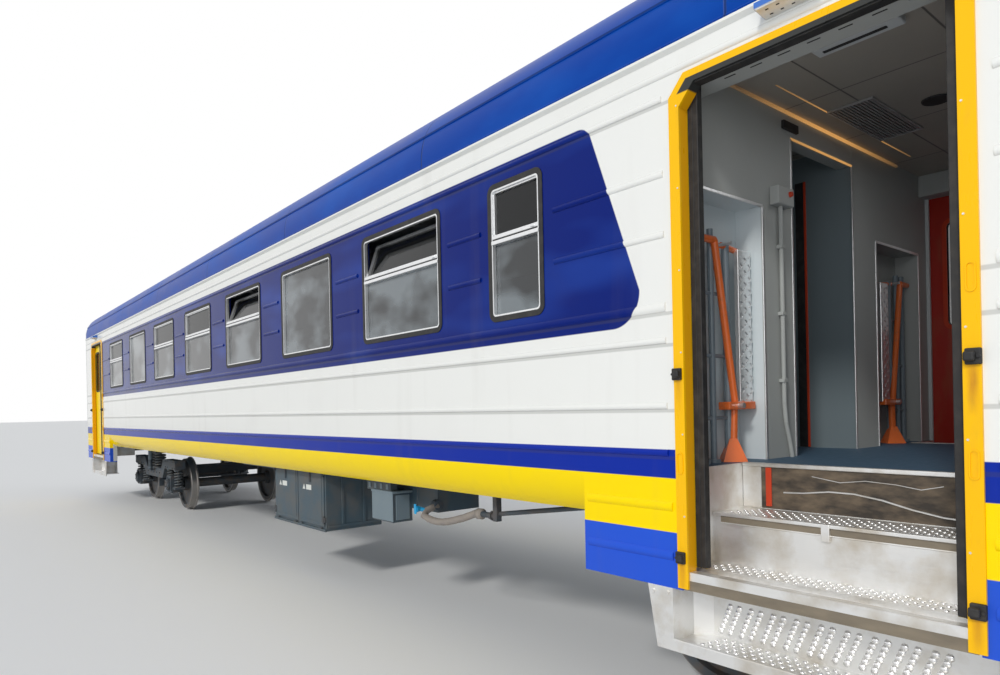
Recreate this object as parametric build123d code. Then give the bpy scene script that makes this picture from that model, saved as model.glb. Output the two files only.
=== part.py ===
from build123d import *
import os
from math import asin, cos, radians, sin

os.makedirs("parts", exist_ok=True)

# Passenger coach on two bogies, in millimetres. Stations run along X from the rear end of the body,
# Y is across the coach, and heights run up from the rail head. save() moves all of it so that the
# origin is at mid-length, on the centre line, at the height of the wheel flanges' lowest point.
BODY_LENGTH = 20800
HALF_WIDTH = 1740
WALL = 60
FLANGE_DEPTH = 28

# Heights of the body's main lines
UNDERFRAME_Z = 1250
FLOOR_BOTTOM = 1400
FLOOR_Z = 1450
SKIRT_TOP = 1400
SKIRT_BOTTOM = 1165
POCKET_BOTTOM = 857
DOOR_TOP = 3420
CANTRAIL_BOTTOM = 3400
WALL_TOP = 3580
SHOULDER_Z = 3660

# Roof and skirt curves
SHOULDER_R = 500
CROWN_R = 7000
SKIRT_R = 300
SKIRT_SHEET = 45
ROOF_SHEET = 60

# Side doors: name, station of the centre, half the surround's width, leaves open at rest on the right
DOORS = [("rear", 1290, 620, False),
         ("middle", 17240, 665, True)]
DOOR_CHAMFER = (90, 100)
SURROUND_FLANGE = 60
SURROUND_PROUD = 12
LEAF = 36
LEAF_GAP = 8
LINING = 22
POCKET_SHORT = 16
LEAF_BOTTOM = 958
LEAF_TOP = 3430
LEAF_SHOWS = 58
LEAF_OUT = HALF_WIDTH - WALL - LEAF_GAP
LEAF_IN = LEAF_OUT - LEAF
LINING_OUT = LEAF_IN - LEAF_GAP
LINING_IN = LINING_OUT - LINING

# Windows: wide ones repeat at one pitch, narrow ones flank the middle door
WINDOW_PITCH = 1775
FIRST_WINDOW = 2700
WIDE, NARROW = 1185, 535
FIRST_NARROW = 15093
WINDOW_LOW, WINDOW_HIGH = 2350, 3260
WINDOW_CORNER = 65
MIDDLE_DOOR = DOORS[1][1]
WINDOWS = [(FIRST_WINDOW + WINDOW_PITCH * k, WIDE) for k in range(7)]
WINDOWS += [(start, NARROW) for start in (FIRST_NARROW, 2 * MIDDLE_DOOR - FIRST_NARROW - NARROW)]
FIXED_PANES = (1, 5)
TRANSOM_Z = 2890

# Steps below each door
SILL_Z = 950
MIDDLE_TREAD_Z = 1209
OUTER_TREAD_Z = 575
SILL_DEPTH = 280
TREAD_DEPTH = 290
WELL_IN = HALF_WIDTH - SILL_DEPTH - TREAD_DEPTH - 20

# Running gear
PIVOTS = [("rear", 3350), ("front", 17450)]
HALF_WHEELBASE = 1200
WHEEL_R = 475
JOURNAL_R, JOURNAL_BORE_R = 65, 70
SIDE_BEAM_IN, SIDE_BEAM_OUT = 930, 1110
PIN_R, PIN_BORE_R = 60, 66

# Ends
END_WALL = 60
END_DOOR_HALF = 400
COUPLER_Z = 1060
COUPLER_REACH = 260
BELLOWS_REACH = 200


def box(x0, x1, y0, y1, z0, z1):
    """A block from its low corner to its high corner."""
    middle = Pos((x0 + x1) / 2, (y0 + y1) / 2, (z0 + z1) / 2)
    return middle * Box(x1 - x0, y1 - y0, z1 - z0)


def rod(start, end, radius):
    """A round bar between two points."""
    line = Edge.make_line(start, end)
    return Plane(origin=start, z_dir=line % 0) * Cylinder(
        radius, line.length, align=(Align.CENTER, Align.CENTER, Align.MIN))


def outline(start, *steps):
    """A closed face. A step is a point for a straight run, or a middle and an end point for an arc."""
    edges = []
    here = start
    for step in steps:
        if isinstance(step[0], tuple):
            edges.append(ThreePointArc(here, step[0], step[1]))
            here = step[1]
        else:
            edges.append(Line(here, step))
            here = step
    edges.append(Line(here, start))
    return make_face(edges)


def along_x(face, x0, x1):
    """A face drawn in Y and Z, pulled along the coach."""
    return extrude(Plane.YZ.offset(x0) * face, x1 - x0)


def across_y(face, y0, y1):
    """A face drawn in X and Z, pulled across the coach."""
    return extrude(Plane.XZ.offset(-y1) * face, y1 - y0)


def on_side(side, solid):
    """Side 1 is the left side, towards +Y, as drawn, and side -1 is its mirror image."""
    return solid if side > 0 else mirror(solid, about=Plane.XZ)


def fuse(solids):
    """Joins solids that share faces into one."""
    whole = solids[0]
    for solid in solids[1:]:
        whole += solid
    return whole


def save(node, *shapes):
    """Writes one node, moved from stations and rail heights to the part's own frame."""
    solids = [solid for shape in shapes for solid in shape.solids()]
    moved = [Pos(-BODY_LENGTH / 2, 0, FLANGE_DEPTH) * solid for solid in solids]
    export_step(moved[0] if len(moved) == 1 else Compound(children=moved), f"parts/{node}.step")


# The roof's section is a shoulder arc on each side that runs into a wide crown arc.
def roof_line(inset):
    """Points of the roof's curve from the left side over to the right, set in by a thickness."""
    shoulder_y = HALF_WIDTH - SHOULDER_R
    lean = asin(shoulder_y / (CROWN_R - SHOULDER_R))
    crown_z = SHOULDER_Z - (CROWN_R - SHOULDER_R) * cos(lean) + CROWN_R - inset
    r = SHOULDER_R - inset
    half = (radians(90) - lean) / 2
    foot = (shoulder_y + r, SHOULDER_Z)
    bend = (shoulder_y + r * cos(half), SHOULDER_Z + r * sin(half))
    tangent = (shoulder_y + r * sin(lean), SHOULDER_Z + r * cos(lean))
    return foot, bend, tangent, (0, crown_z)


def flip(point):
    return (-point[0], point[1])


def roof_face():
    foot, bend, tangent, crown = roof_line(0)
    foot2, bend2, tangent2, crown2 = roof_line(ROOF_SHEET)
    return outline((HALF_WIDTH, WALL_TOP), foot, (bend, tangent), (crown, flip(tangent)),
                   (flip(bend), flip(foot)), (-HALF_WIDTH, WALL_TOP),
                   (ROOF_SHEET - HALF_WIDTH, WALL_TOP), flip(foot2), (flip(bend2), flip(tangent2)),
                   (crown2, tangent2), (bend2, foot2), (HALF_WIDTH - ROOF_SHEET, WALL_TOP))


# The skirt bends in below the wall on a single arc.
def skirt_point(radius, share):
    bend = asin((SKIRT_TOP - SKIRT_BOTTOM) / SKIRT_R) * share
    return (HALF_WIDTH - SKIRT_R + radius * cos(bend), SKIRT_TOP - radius * sin(bend))


def skirt_face():
    thin = SKIRT_R - SKIRT_SHEET
    return outline((HALF_WIDTH, SKIRT_TOP), (skirt_point(SKIRT_R, 0.5), skirt_point(SKIRT_R, 1)),
                   skirt_point(thin, 1), (skirt_point(thin, 0.5), (HALF_WIDTH - SKIRT_SHEET, SKIRT_TOP)))


def end_face():
    foot, bend, tangent, crown = roof_line(0)
    low, mid = skirt_point(SKIRT_R, 1), skirt_point(SKIRT_R, 0.5)
    return outline(low, (mid, (HALF_WIDTH, SKIRT_TOP)), foot, (bend, tangent), (crown, flip(tangent)),
                   (flip(bend), flip(foot)), (-HALF_WIDTH, SKIRT_TOP), (flip(mid), flip(low)))


def door_face(centre, half, top, bottom):
    """A doorway's outline, with its two upper corners cut off."""
    in_x, down = DOOR_CHAMFER
    return outline((centre - half, bottom), (centre - half, top - down), (centre - half + in_x, top),
                   (centre + half - in_x, top), (centre + half, top - down), (centre + half, bottom))


def window_face(start, width, grow):
    """A window's rounded outline, larger or smaller all round by grow."""
    face = RectangleRounded(width + 2 * grow, WINDOW_HIGH - WINDOW_LOW + 2 * grow, WINDOW_CORNER + grow)
    return Pos(start + width / 2, (WINDOW_LOW + WINDOW_HIGH) / 2) * face


def pocket_end(centre, half, way):
    """Station of the closed end of a leaf's pocket, towards way, and of the doorway's edge beside it."""
    return centre + way * (2 * half - POCKET_SHORT), centre + way * half


# Side walls, from the skirt up to the cantrail, with the doorways and windows cut through.
SKIRTED = [(pocket_end(DOORS[0][1], DOORS[0][2], 1)[0], pocket_end(MIDDLE_DOOR, DOORS[1][2], -1)[0]),
           (pocket_end(MIDDLE_DOOR, DOORS[1][2], 1)[0], BODY_LENGTH - END_WALL)]
wall = box(END_WALL, BODY_LENGTH - END_WALL, HALF_WIDTH - WALL, HALF_WIDTH, SKIRT_TOP, CANTRAIL_BOTTOM)
wall = fuse([wall] + [along_x(skirt_face(), x0, x1) for x0, x1 in SKIRTED])
for _, centre, half, _ in DOORS:
    cut = door_face(centre, half - 20, CANTRAIL_BOTTOM, POCKET_BOTTOM)
    wall -= across_y(cut, HALF_WIDTH - WALL, HALF_WIDTH)
for start, width in WINDOWS:
    wall -= across_y(window_face(start, width, -15), HALF_WIDTH - WALL, HALF_WIDTH)
for name, side in (("left", 1), ("right", -1)):
    save(f"side_wall_{name}", on_side(side, wall))

# Cantrails: the beams over the doors and windows, with the rain gutter along their top edge.
cantrail = box(END_WALL, BODY_LENGTH - END_WALL, HALF_WIDTH - WALL, HALF_WIDTH, CANTRAIL_BOTTOM, WALL_TOP)
gutter = outline((HALF_WIDTH, WALL_TOP - 30), (HALF_WIDTH + 26, WALL_TOP - 14), (HALF_WIDTH + 26, WALL_TOP),
                 (HALF_WIDTH, WALL_TOP))
cantrail += along_x(gutter, END_WALL, BODY_LENGTH - END_WALL)
save("cantrails", *[on_side(side, cantrail) for side in (1, -1)])

# Roof shell and the flat ventilators along it.
save("roof_shell", along_x(roof_face(), END_WALL, BODY_LENGTH - END_WALL))
VENT_STATIONS = (2800, 6600, 10400, 14200, 18000)
crown_height = roof_line(0)[3][1]
vents = []
for station in VENT_STATIONS:
    vent_face = outline((-260, crown_height - 40), (-230, crown_height + 70), ((0, crown_height + 95),
                        (230, crown_height + 70)), (260, crown_height - 40))
    roof_solid = along_x(end_face(), station - 420, station + 420)
    vents.append(along_x(vent_face, station - 400, station + 400) - roof_solid)
save("roof_vents", *vents)

# End walls with the gangway doorway.
END_DOOR_LOW, END_DOOR_HIGH = FLOOR_Z + 10, 3390
end_walls = []
for x0 in (0, BODY_LENGTH - END_WALL):
    end_wall = along_x(end_face(), x0, x0 + END_WALL)
    end_wall -= box(x0, x0 + END_WALL, -END_DOOR_HALF, END_DOOR_HALF, END_DOOR_LOW, END_DOOR_HIGH)
    end_walls.append(end_wall)
save("end_walls", *end_walls)

# Gangway bellows: a folded rubber tunnel outside each end doorway.
PLEATS = 4
BELLOWS_HALF, BELLOWS_LOW, BELLOWS_HIGH = 560, 1300, 3500
BELLOWS_WALL = 45


def bellows_ring(x0, x1, grow):
    outer = box(x0, x1, -BELLOWS_HALF - grow, BELLOWS_HALF + grow, BELLOWS_LOW - grow, BELLOWS_HIGH + grow)
    hole = BELLOWS_HALF - BELLOWS_WALL
    return outer - box(x0, x1, -hole, hole, BELLOWS_LOW + BELLOWS_WALL, BELLOWS_HIGH - BELLOWS_WALL)


pleat = BELLOWS_REACH / PLEATS
rings = []
for k in range(PLEATS):
    rings.append(bellows_ring(-pleat * (k + 0.4), -pleat * k, 0))
    rings.append(bellows_ring(-pleat * (k + 1), -pleat * (k + 0.4), 40))
bellows = fuse(rings)
facing = Plane.YZ.offset(BODY_LENGTH / 2)
save("gangway_bellows", bellows, mirror(bellows, about=facing))

# Couplers: a drawbar out of the headstock and a head with a flat front face.
coupler = box(-60, END_WALL, -65, 65, COUPLER_Z - 65, COUPLER_Z + 65)
coupler += box(-COUPLER_REACH, -60, -150, 150, COUPLER_Z - 160, COUPLER_Z + 160)
save("couplers", coupler, mirror(coupler, about=facing))

# Door pockets: outside, a flat block below each pocket, and inside, the lining that the leaf slides behind.
pocket_skirts = []
pocket_linings = []
for _, centre, half, _ in DOORS:
    for way in (-1, 1):
        far, near = pocket_end(centre, half, way)
        cap = sorted((far, far - way * 15))
        span = sorted((far, near - way * 20))
        skirt = box(*span, HALF_WIDTH - WALL, HALF_WIDTH, POCKET_BOTTOM, SKIRT_TOP)
        skirt += box(*span, LINING_IN, HALF_WIDTH, POCKET_BOTTOM - 12, POCKET_BOTTOM)
        lining = box(*span, LINING_IN, LINING_OUT, POCKET_BOTTOM, 3560)
        lining += box(*cap, LINING_IN, HALF_WIDTH - WALL, POCKET_BOTTOM, 3560)
        pocket_skirts += [on_side(side, skirt) for side in (1, -1)]
        pocket_linings += [on_side(side, lining) for side in (1, -1)]
save("pocket_skirts", *pocket_skirts)
save("pocket_linings", *pocket_linings)

# Door surrounds: a flange on the outside of the wall and a sleeve through it.
surrounds = []
for _, centre, half, _ in DOORS:
    flange = across_y(door_face(centre, half, DOOR_TOP, POCKET_BOTTOM), HALF_WIDTH, HALF_WIDTH + SURROUND_PROUD)
    sleeve = across_y(door_face(centre, half - 20, CANTRAIL_BOTTOM, POCKET_BOTTOM), HALF_WIDTH - WALL, HALF_WIDTH)
    clear = door_face(centre, half - SURROUND_FLANGE, DOOR_TOP - SURROUND_FLANGE, POCKET_BOTTOM)
    surround = flange + sleeve - across_y(clear, HALF_WIDTH - WALL, HALF_WIDTH + SURROUND_PROUD)
    surrounds += [on_side(side, surround) for side in (1, -1)]
save("door_surrounds", *surrounds)

# Door leaves: a panel with a rounded window and its pane, two to a doorway, which part along the wall.
LEAF_WINDOW_LOW, LEAF_WINDOW_HIGH = 2350, 3200
LEAF_RAIL = 110
for door, centre, half, right_open in DOORS:
    width = half - 15
    travel = half - SURROUND_FLANGE - LEAF_SHOWS
    for side_name, side in (("left", 1), ("right", -1)):
        shift = travel if right_open and side < 0 else 0
        for way, leaf_name in ((-1, "aft"), (1, "fore")):
            span = sorted((centre + way * (2.5 + shift), centre + way * (2.5 + shift + width)))
            panel = box(*span, LEAF_IN, LEAF_OUT, LEAF_BOTTOM, LEAF_TOP)
            middle = Pos((span[0] + span[1]) / 2, (LEAF_WINDOW_LOW + LEAF_WINDOW_HIGH) / 2)
            size = (width - 2 * LEAF_RAIL, LEAF_WINDOW_HIGH - LEAF_WINDOW_LOW)
            panel -= across_y(middle * RectangleRounded(*size, 60), LEAF_IN, LEAF_OUT)
            pane = RectangleRounded(size[0] - 2, size[1] - 2, 59)
            pane = across_y(middle * pane, LEAF_IN + 14, LEAF_OUT - 14)
            save(f"door_{door}_{side_name}_{leaf_name}", on_side(side, panel), on_side(side, pane))

# Window frames: a rubber lip outside and a frame through the wall, with a bar under the hinged upper panes.
FRAME_IN = 36
frames = []
panes = []
for number, (start, width) in enumerate(WINDOWS):
    frame = across_y(window_face(start, width, 0), HALF_WIDTH, HALF_WIDTH + 6)
    frame += across_y(window_face(start, width, -15), HALF_WIDTH - 40, HALF_WIDTH)
    frame -= across_y(window_face(start, width, -FRAME_IN), HALF_WIDTH - 40, HALF_WIDTH + 6)
    if number not in FIXED_PANES:
        frame += box(start + FRAME_IN, start + width - FRAME_IN, HALF_WIDTH - 24, HALF_WIDTH + 3,
                     TRANSOM_Z - 22, TRANSOM_Z + 22)
    glass = across_y(window_face(start, width, -FRAME_IN), HALF_WIDTH - 32, HALF_WIDTH - 26)
    frames += [on_side(side, frame) for side in (1, -1)]
    panes += [on_side(side, glass) for side in (1, -1)]
save("window_frames", *frames)
save("window_glass", *panes)

# Pressed ribs along the body: height, half height, first and last reach.
# Long ribs run between the doorways, short ones sit on the piers between the windows.
RIB_PROUD = 12
LONG_RIBS = [(1535, 20), (1775, 18), (2110, 18), (2280, 26), (3340, 18)]
PIER_RIBS = [(2652, 19), (2960, 19)]
rib_spans = []
stretches = [(END_WALL, DOORS[0][1] - DOORS[0][2]), (DOORS[0][1] + DOORS[0][2], MIDDLE_DOOR - DOORS[1][2]),
             (MIDDLE_DOOR + DOORS[1][2], BODY_LENGTH - END_WALL)]
for height, half_height in LONG_RIBS:
    rib_spans += [(x0 + 50, x1 - 50, height, half_height) for x0, x1 in stretches if x1 - x0 > 600]
edges_x = [DOORS[0][1] + DOORS[0][2]]
for start, width in WINDOWS:
    edges_x += [start, start + width]
edges_x.append(BODY_LENGTH - END_WALL)
for height, half_height in PIER_RIBS:
    for x0, x1 in zip(edges_x[0::2], edges_x[1::2]):
        if x0 < MIDDLE_DOOR < x1:
            rib_spans.append((x0 + 90, MIDDLE_DOOR - DOORS[1][2] - 50, height, half_height))
            rib_spans.append((MIDDLE_DOOR + DOORS[1][2] + 50, x1 - 90, height, half_height))
        else:
            rib_spans.append((x0 + 90, x1 - 90, height, half_height))
rib_spans.append((END_WALL, BODY_LENGTH - END_WALL, 3460, 18))
for _, centre, half, _ in DOORS:
    for way in (-1, 1):
        far, near = pocket_end(centre, half, way)
        for height in (1010, 1260):
            rib_spans.append((*sorted((far - way * 30, near + way * 30)), height, 24))
ribs = []
for x0, x1, height, half_height in rib_spans:
    section = outline((HALF_WIDTH, height - half_height), ((HALF_WIDTH + RIB_PROUD, height),
                      (HALF_WIDTH, height + half_height)))
    rib = along_x(section, x0, x1)
    ribs += [on_side(side, rib) for side in (1, -1)]
save("body_ribs", *ribs)

# Lamp housings over the doors, just under the gutter.
LAMP_HALF, LAMP_REACH = 140, 95
lamps = []
for _, centre, _, _ in DOORS:
    lamp_face = outline((HALF_WIDTH, 3492), (HALF_WIDTH + LAMP_REACH, 3504), (HALF_WIDTH + LAMP_REACH, 3532),
                        (HALF_WIDTH + 60, 3549), (HALF_WIDTH, 3549))
    lamp = along_x(lamp_face, centre - LAMP_HALF, centre + LAMP_HALF)
    lamps += [on_side(side, lamp) for side in (1, -1)]
save("door_lamps", *lamps)

# Floor deck: a middle board between the step wells, and side boards between the wells and pockets.
boards = [box(END_WALL, BODY_LENGTH - END_WALL, -WELL_IN, WELL_IN, FLOOR_BOTTOM, FLOOR_Z)]
board_spans = [(x0, x1, HALF_WIDTH - WALL) for x0, x1 in SKIRTED]
for _, centre, half, _ in DOORS:
    for way in (-1, 1):
        span = sorted((pocket_end(centre, half, way)[0], centre + way * (half - 8)))
        board_spans.append((*span, LINING_IN))
for x0, x1, reach in board_spans:
    boards += [on_side(side, box(x0, x1, WELL_IN, reach, FLOOR_BOTTOM, FLOOR_Z)) for side in (1, -1)]
save("floor_deck", *boards)

# Underframe: a deep centre sill, side sills along the coach on bearers across it, the body bolsters with
# their pivot pins, and the headstocks.
CENTRE_SILL = 180
CENTRE_SILL_LOW = UNDERFRAME_Z - 60
SIDE_SILL_LOW = UNDERFRAME_Z + 80
beams = [box(END_WALL, BODY_LENGTH - END_WALL, -CENTRE_SILL, CENTRE_SILL, CENTRE_SILL_LOW, FLOOR_BOTTOM)]
for side in (1, -1):
    beams.append(on_side(side, box(END_WALL, BODY_LENGTH - END_WALL, 1030, 1100, SIDE_SILL_LOW, FLOOR_BOTTOM)))
    for x0, x1 in SKIRTED:
        beams.append(on_side(side, box(x0, x1, 1480, 1560, SIDE_SILL_LOW, FLOOR_BOTTOM)))
BEARERS = [2700, 5600, 7000, 8400, 9800, 11200, 12600, 14000, 15700, 18700, 20500]
for station in BEARERS:
    bearer = box(station - 45, station + 45, CENTRE_SILL, 1560, UNDERFRAME_Z, SIDE_SILL_LOW)
    beams += [on_side(side, bearer) for side in (1, -1)]
for x0 in (END_WALL, BODY_LENGTH - END_WALL - 100):
    headstock = box(x0, x0 + 100, -1100, 1100, COUPLER_Z - 110, CENTRE_SILL_LOW)
    for side in (1, -1):
        headstock += on_side(side, box(x0, x0 + 100, CENTRE_SILL, 1100, CENTRE_SILL_LOW, SIDE_SILL_LOW))
    beams.append(headstock)
for _, pivot in PIVOTS:
    bolster = box(pivot - 240, pivot + 240, CENTRE_SILL, 1120, CENTRE_SILL_LOW, SIDE_SILL_LOW)
    beams += [on_side(side, bolster) for side in (1, -1)]
    beams.append(rod((pivot, 0, 1075), (pivot, 0, CENTRE_SILL_LOW), PIN_R))
save("underframe", *beams)

# Step wells: a bent plate with the sill tread, the leaves' track slot and the sill's front face outside,
# then a riser, the middle tread and the riser to the floor.
PLATE = 20
SLOT_OUT, SLOT_IN = 52, 118
SLOT_DROP = 25
SILL_FACE_LOW = 900
wells = []
cheeks = []
for _, centre, half, _ in DOORS:
    out, mid, back = HALF_WIDTH, HALF_WIDTH - SILL_DEPTH, WELL_IN
    track = SILL_Z - SLOT_DROP
    lip = SILL_Z - 8
    stair = outline((out, lip), (out - SLOT_OUT, lip), (out - SLOT_OUT, track), (out - SLOT_IN, track),
                    (out - SLOT_IN, SILL_Z), (mid, SILL_Z), (mid, MIDDLE_TREAD_Z), (back + PLATE, MIDDLE_TREAD_Z),
                    (back + PLATE, FLOOR_Z), (back, FLOOR_Z), (back, MIDDLE_TREAD_Z - PLATE),
                    (mid - PLATE, MIDDLE_TREAD_Z - PLATE), (mid - PLATE, SILL_Z - PLATE),
                    (out - SLOT_IN - PLATE, SILL_Z - PLATE), (out - SLOT_IN - PLATE, track - PLATE),
                    (out - PLATE, track - PLATE), (out - PLATE, SILL_FACE_LOW), (out, SILL_FACE_LOW))
    stair = along_x(stair, centre - half + 20, centre + half - 20)
    for way in (-1, 1):
        jamb = sorted((centre + way * (half - SURROUND_FLANGE - 2), centre + way * half))
        stair -= box(*jamb, HALF_WIDTH - WALL, HALF_WIDTH, SILL_FACE_LOW, SILL_Z)
    wells += [on_side(side, stair) for side in (1, -1)]
    for way in (-1, 1):
        span = sorted((centre + way * (half - 20), centre + way * (half - 8)))
        cheek = box(*span, WELL_IN, LINING_IN, SILL_Z - PLATE, FLOOR_Z)
        cheeks += [on_side(side, cheek) for side in (1, -1)]
save("step_wells", *wells)
save("well_cheeks", *cheeks)

# Outer steps: an aluminium box below each doorway, with slanted end plates in front, folded cheeks,
# a tread and a back plate up to the sill.
OUTER_BACK = 1490
STEP_SHEET = 8
STEP_TOP = POCKET_BOTTOM - 12
STEP_LOW = OUTER_TREAD_Z - 50
STEP_REACH_TOP, STEP_REACH_LOW = 200, 145
CHEEK_REACH, CHEEK_FOLD = 50, 1560
outer_steps = []
for _, centre, half, _ in DOORS:
    end, back = half + STEP_REACH_LOW, half - 35
    tread = box(centre - end, centre + end, OUTER_BACK, HALF_WIDTH, OUTER_TREAD_Z - 14, OUTER_TREAD_Z)
    tread += box(centre - end, centre + end, HALF_WIDTH - STEP_SHEET, HALF_WIDTH, STEP_LOW, OUTER_TREAD_Z + 6)
    tread += box(centre - back, centre + back, OUTER_BACK, OUTER_BACK + STEP_SHEET, OUTER_TREAD_Z - 14,
                 SILL_Z - PLATE)
    for way in (-1, 1):
        cheek = centre + way * (half + CHEEK_REACH)
        plate = outline((centre + way * end, STEP_LOW), (centre + way * (half + STEP_REACH_TOP), STEP_TOP),
                        (cheek, STEP_TOP), (cheek - way * STEP_SHEET, STEP_LOW))
        tread += across_y(plate, HALF_WIDTH - STEP_SHEET, HALF_WIDTH)
        inner = cheek - way * STEP_SHEET
        fold = outline((cheek, HALF_WIDTH), (inner, HALF_WIDTH), (inner, CHEEK_FOLD + 6),
                       (centre + way * back, OUTER_BACK + STEP_SHEET), (centre + way * back, OUTER_BACK),
                       (centre + way * (back + 4), OUTER_BACK), (cheek, CHEEK_FOLD))
        tread += extrude(Plane.XY.offset(OUTER_TREAD_Z - 14) * fold, STEP_TOP - OUTER_TREAD_Z + 14)
    outer_steps += [on_side(side, tread) for side in (1, -1)]
save("outer_steps", *outer_steps)

# Cross walls inside, each with a doorway, and the sliding doors that close them.
# Name, first station, thickness, half width, the doorway's middle, side of the wall that its door hangs on.
PARTITIONS = [("rear", 2540, 34, HALF_WIDTH - WALL, 0, -1),
              ("middle", 16100, 40, LINING_IN, -110, -1),
              ("front", 18600, 40, HALF_WIDTH - WALL, 0, 1)]
SALOON_DOOR_HALF = 400
PARTITION_TOP = 3600
partitions = []
for name, x0, thick, reach, doorway_y, way in PARTITIONS:
    cross = box(x0, x0 + thick, -reach, reach, FLOOR_Z, PARTITION_TOP)
    cross -= box(x0, x0 + thick, doorway_y - SALOON_DOOR_HALF, doorway_y + SALOON_DOOR_HALF, FLOOR_Z, 3380)
    partitions.append(cross)
    face = x0 - 8 - LEAF if way < 0 else x0 + thick + 8
    leaf = box(face, face + LEAF, doorway_y - SALOON_DOOR_HALF - 30, doorway_y + SALOON_DOOR_HALF + 30,
               FLOOR_Z + 8, 3410)
    hole = Pos(doorway_y, 2560) * RectangleRounded(420, 1300, 60)
    pane = Pos(doorway_y, 2560) * RectangleRounded(418, 1298, 59)
    leaf -= along_x(hole, face, face + LEAF)
    save(f"saloon_door_{name}", leaf, along_x(pane, face + 14, face + LEAF - 14))
save("partitions", *partitions)

# Gangway doors: a hinged leaf inside each end doorway.
for name, x0 in (("rear", 16), ("front", BODY_LENGTH - 16 - LEAF)):
    half = END_DOOR_HALF - 7
    leaf = box(x0, x0 + LEAF, -half, half, END_DOOR_LOW + 7, END_DOOR_HIGH - 7)
    leaf -= along_x(Pos(0, 2700) * RectangleRounded(420, 900, 60), x0, x0 + LEAF)
    pane = along_x(Pos(0, 2700) * RectangleRounded(418, 898, 59), x0 + 14, x0 + LEAF - 14)
    save(f"end_door_{name}", leaf, pane)

# Ceiling: flat panels in the vestibules, and in the saloons panels that slope down to the walls.
CEILING_Z = 3560
cross_walls = [(x0, x0 + thick) for _, x0, thick, _, _, _ in PARTITIONS]
VESTIBULES = [(END_WALL, cross_walls[0][0]), (cross_walls[1][1], cross_walls[2][0])]
SALOONS = [(cross_walls[0][1], cross_walls[1][0]), (cross_walls[2][1], BODY_LENGTH - END_WALL)]
ceilings = [box(x0, x1, -1600, 1600, CEILING_Z, CEILING_Z + 20) for x0, x1 in VESTIBULES]
for x0, x1 in SALOONS:
    face = outline((-1600, 3560), (-1000, 3760), (1000, 3760), (1600, 3560), (1600, 3580), (1000, 3780),
                   (-1000, 3780), (-1600, 3580))
    ceilings.append(along_x(face, x0, x1))
save("ceiling_panels", *ceilings)

# Seats: three-place benches in facing pairs, one pair to a window on each side.
SEAT_AISLE, SEAT_WALL = 345, HALF_WIDTH - WALL - 8
SEAT_FACE = outline((15, 300), (440, 300), (455, 340), (455, 420), ((445, 442), (425, 445)), (115, 425),
                    (70, 1050), ((52, 1085), (30, 1080)), (12, 1045))
FIRST_PIER = FIRST_WINDOW - (WINDOW_PITCH - WIDE) / 2
seat_places = []
for k in range(7):
    pier = FIRST_PIER + WINDOW_PITCH * k
    seat_places += [(max(pier, cross_walls[0][1] + 10), 1), (pier + WINDOW_PITCH, -1)]
seat_places += [(FIRST_PIER + WINDOW_PITCH * 7, 1), (cross_walls[2][1] + 50, 1)]
seats = []
for station, way in seat_places:
    face = SEAT_FACE if way > 0 else mirror(SEAT_FACE, about=Plane.YZ)
    bench = across_y(Pos(station, FLOOR_Z) * face, SEAT_AISLE, SEAT_WALL)
    leg = sorted((station + way * 120, station + way * 330))
    bench += box(*leg, SEAT_AISLE + 150, SEAT_WALL - 150, FLOOR_Z, FLOOR_Z + 300)
    seats += [on_side(side, bench) for side in (1, -1)]
save("seats", *seats)

# Luggage racks over the windows.
racks = []
for x0, x1 in ((2620, 15880), (18700, 20700)):
    rack = box(x0, x1, 1380, HALF_WIDTH - WALL, 3290, 3306) + box(x0, x1, 1350, 1380, 3290, 3330)
    racks += [on_side(side, rack) for side in (1, -1)]
save("luggage_racks", *racks)

# Lockers between the cross wall and the middle doors, with a recess on each side for a wheelchair lift.
LOCKER_BACK, LOCKER_FACE = cross_walls[1][1], 16570
RECESS_BACK, RECESS_TOP = 16400, 2930
# Side, the locker's inner face, the recess from its inner to its outer edge
LOCKERS = [(-1, 530, 880, LINING_IN), (1, 300, 660, 1440)]
lockers = []
for side, inner, recess_in, recess_out in LOCKERS:
    locker = box(LOCKER_BACK, LOCKER_FACE, inner, LINING_IN, FLOOR_Z, CEILING_Z)
    locker -= box(RECESS_BACK, LOCKER_FACE, recess_in, recess_out, FLOOR_Z, RECESS_TOP)
    lockers.append(on_side(side, locker))
save("vestibule_lockers", *lockers)

# Wheelchair lifts, folded up in the recesses: posts, arms, the ramp plate on its joint, and the foot.
LIFT_X = 16470
lift_bars = [((1361, FLOOR_Z), (1361, 2760), 20), ((1257, FLOOR_Z), (1257, 2760), 20),
             ((1109, FLOOR_Z), (1109, 2700), 24), ((1109, 2660), (1393, 2692), 18),
             ((1262, 2692), (1086, 1783), 22), ((907, 2657), (1109, 2680), 18)]
lift = fuse([rod((LIFT_X, *start), (LIFT_X, *end), radius) for start, end, radius in lift_bars]
            + [box(LIFT_X - 28, LIFT_X + 28, 990, 1180, 1740, 1812),
               box(LIFT_X + 4, LIFT_X + 34, 900, 1030, 1770, 2670),
               box(LIFT_X - 45, LIFT_X + 75, 990, 1185, FLOOR_Z, FLOOR_Z + 60)])
save("wheelchair_lifts", *[on_side(side, lift) for side in (1, -1)])

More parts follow.
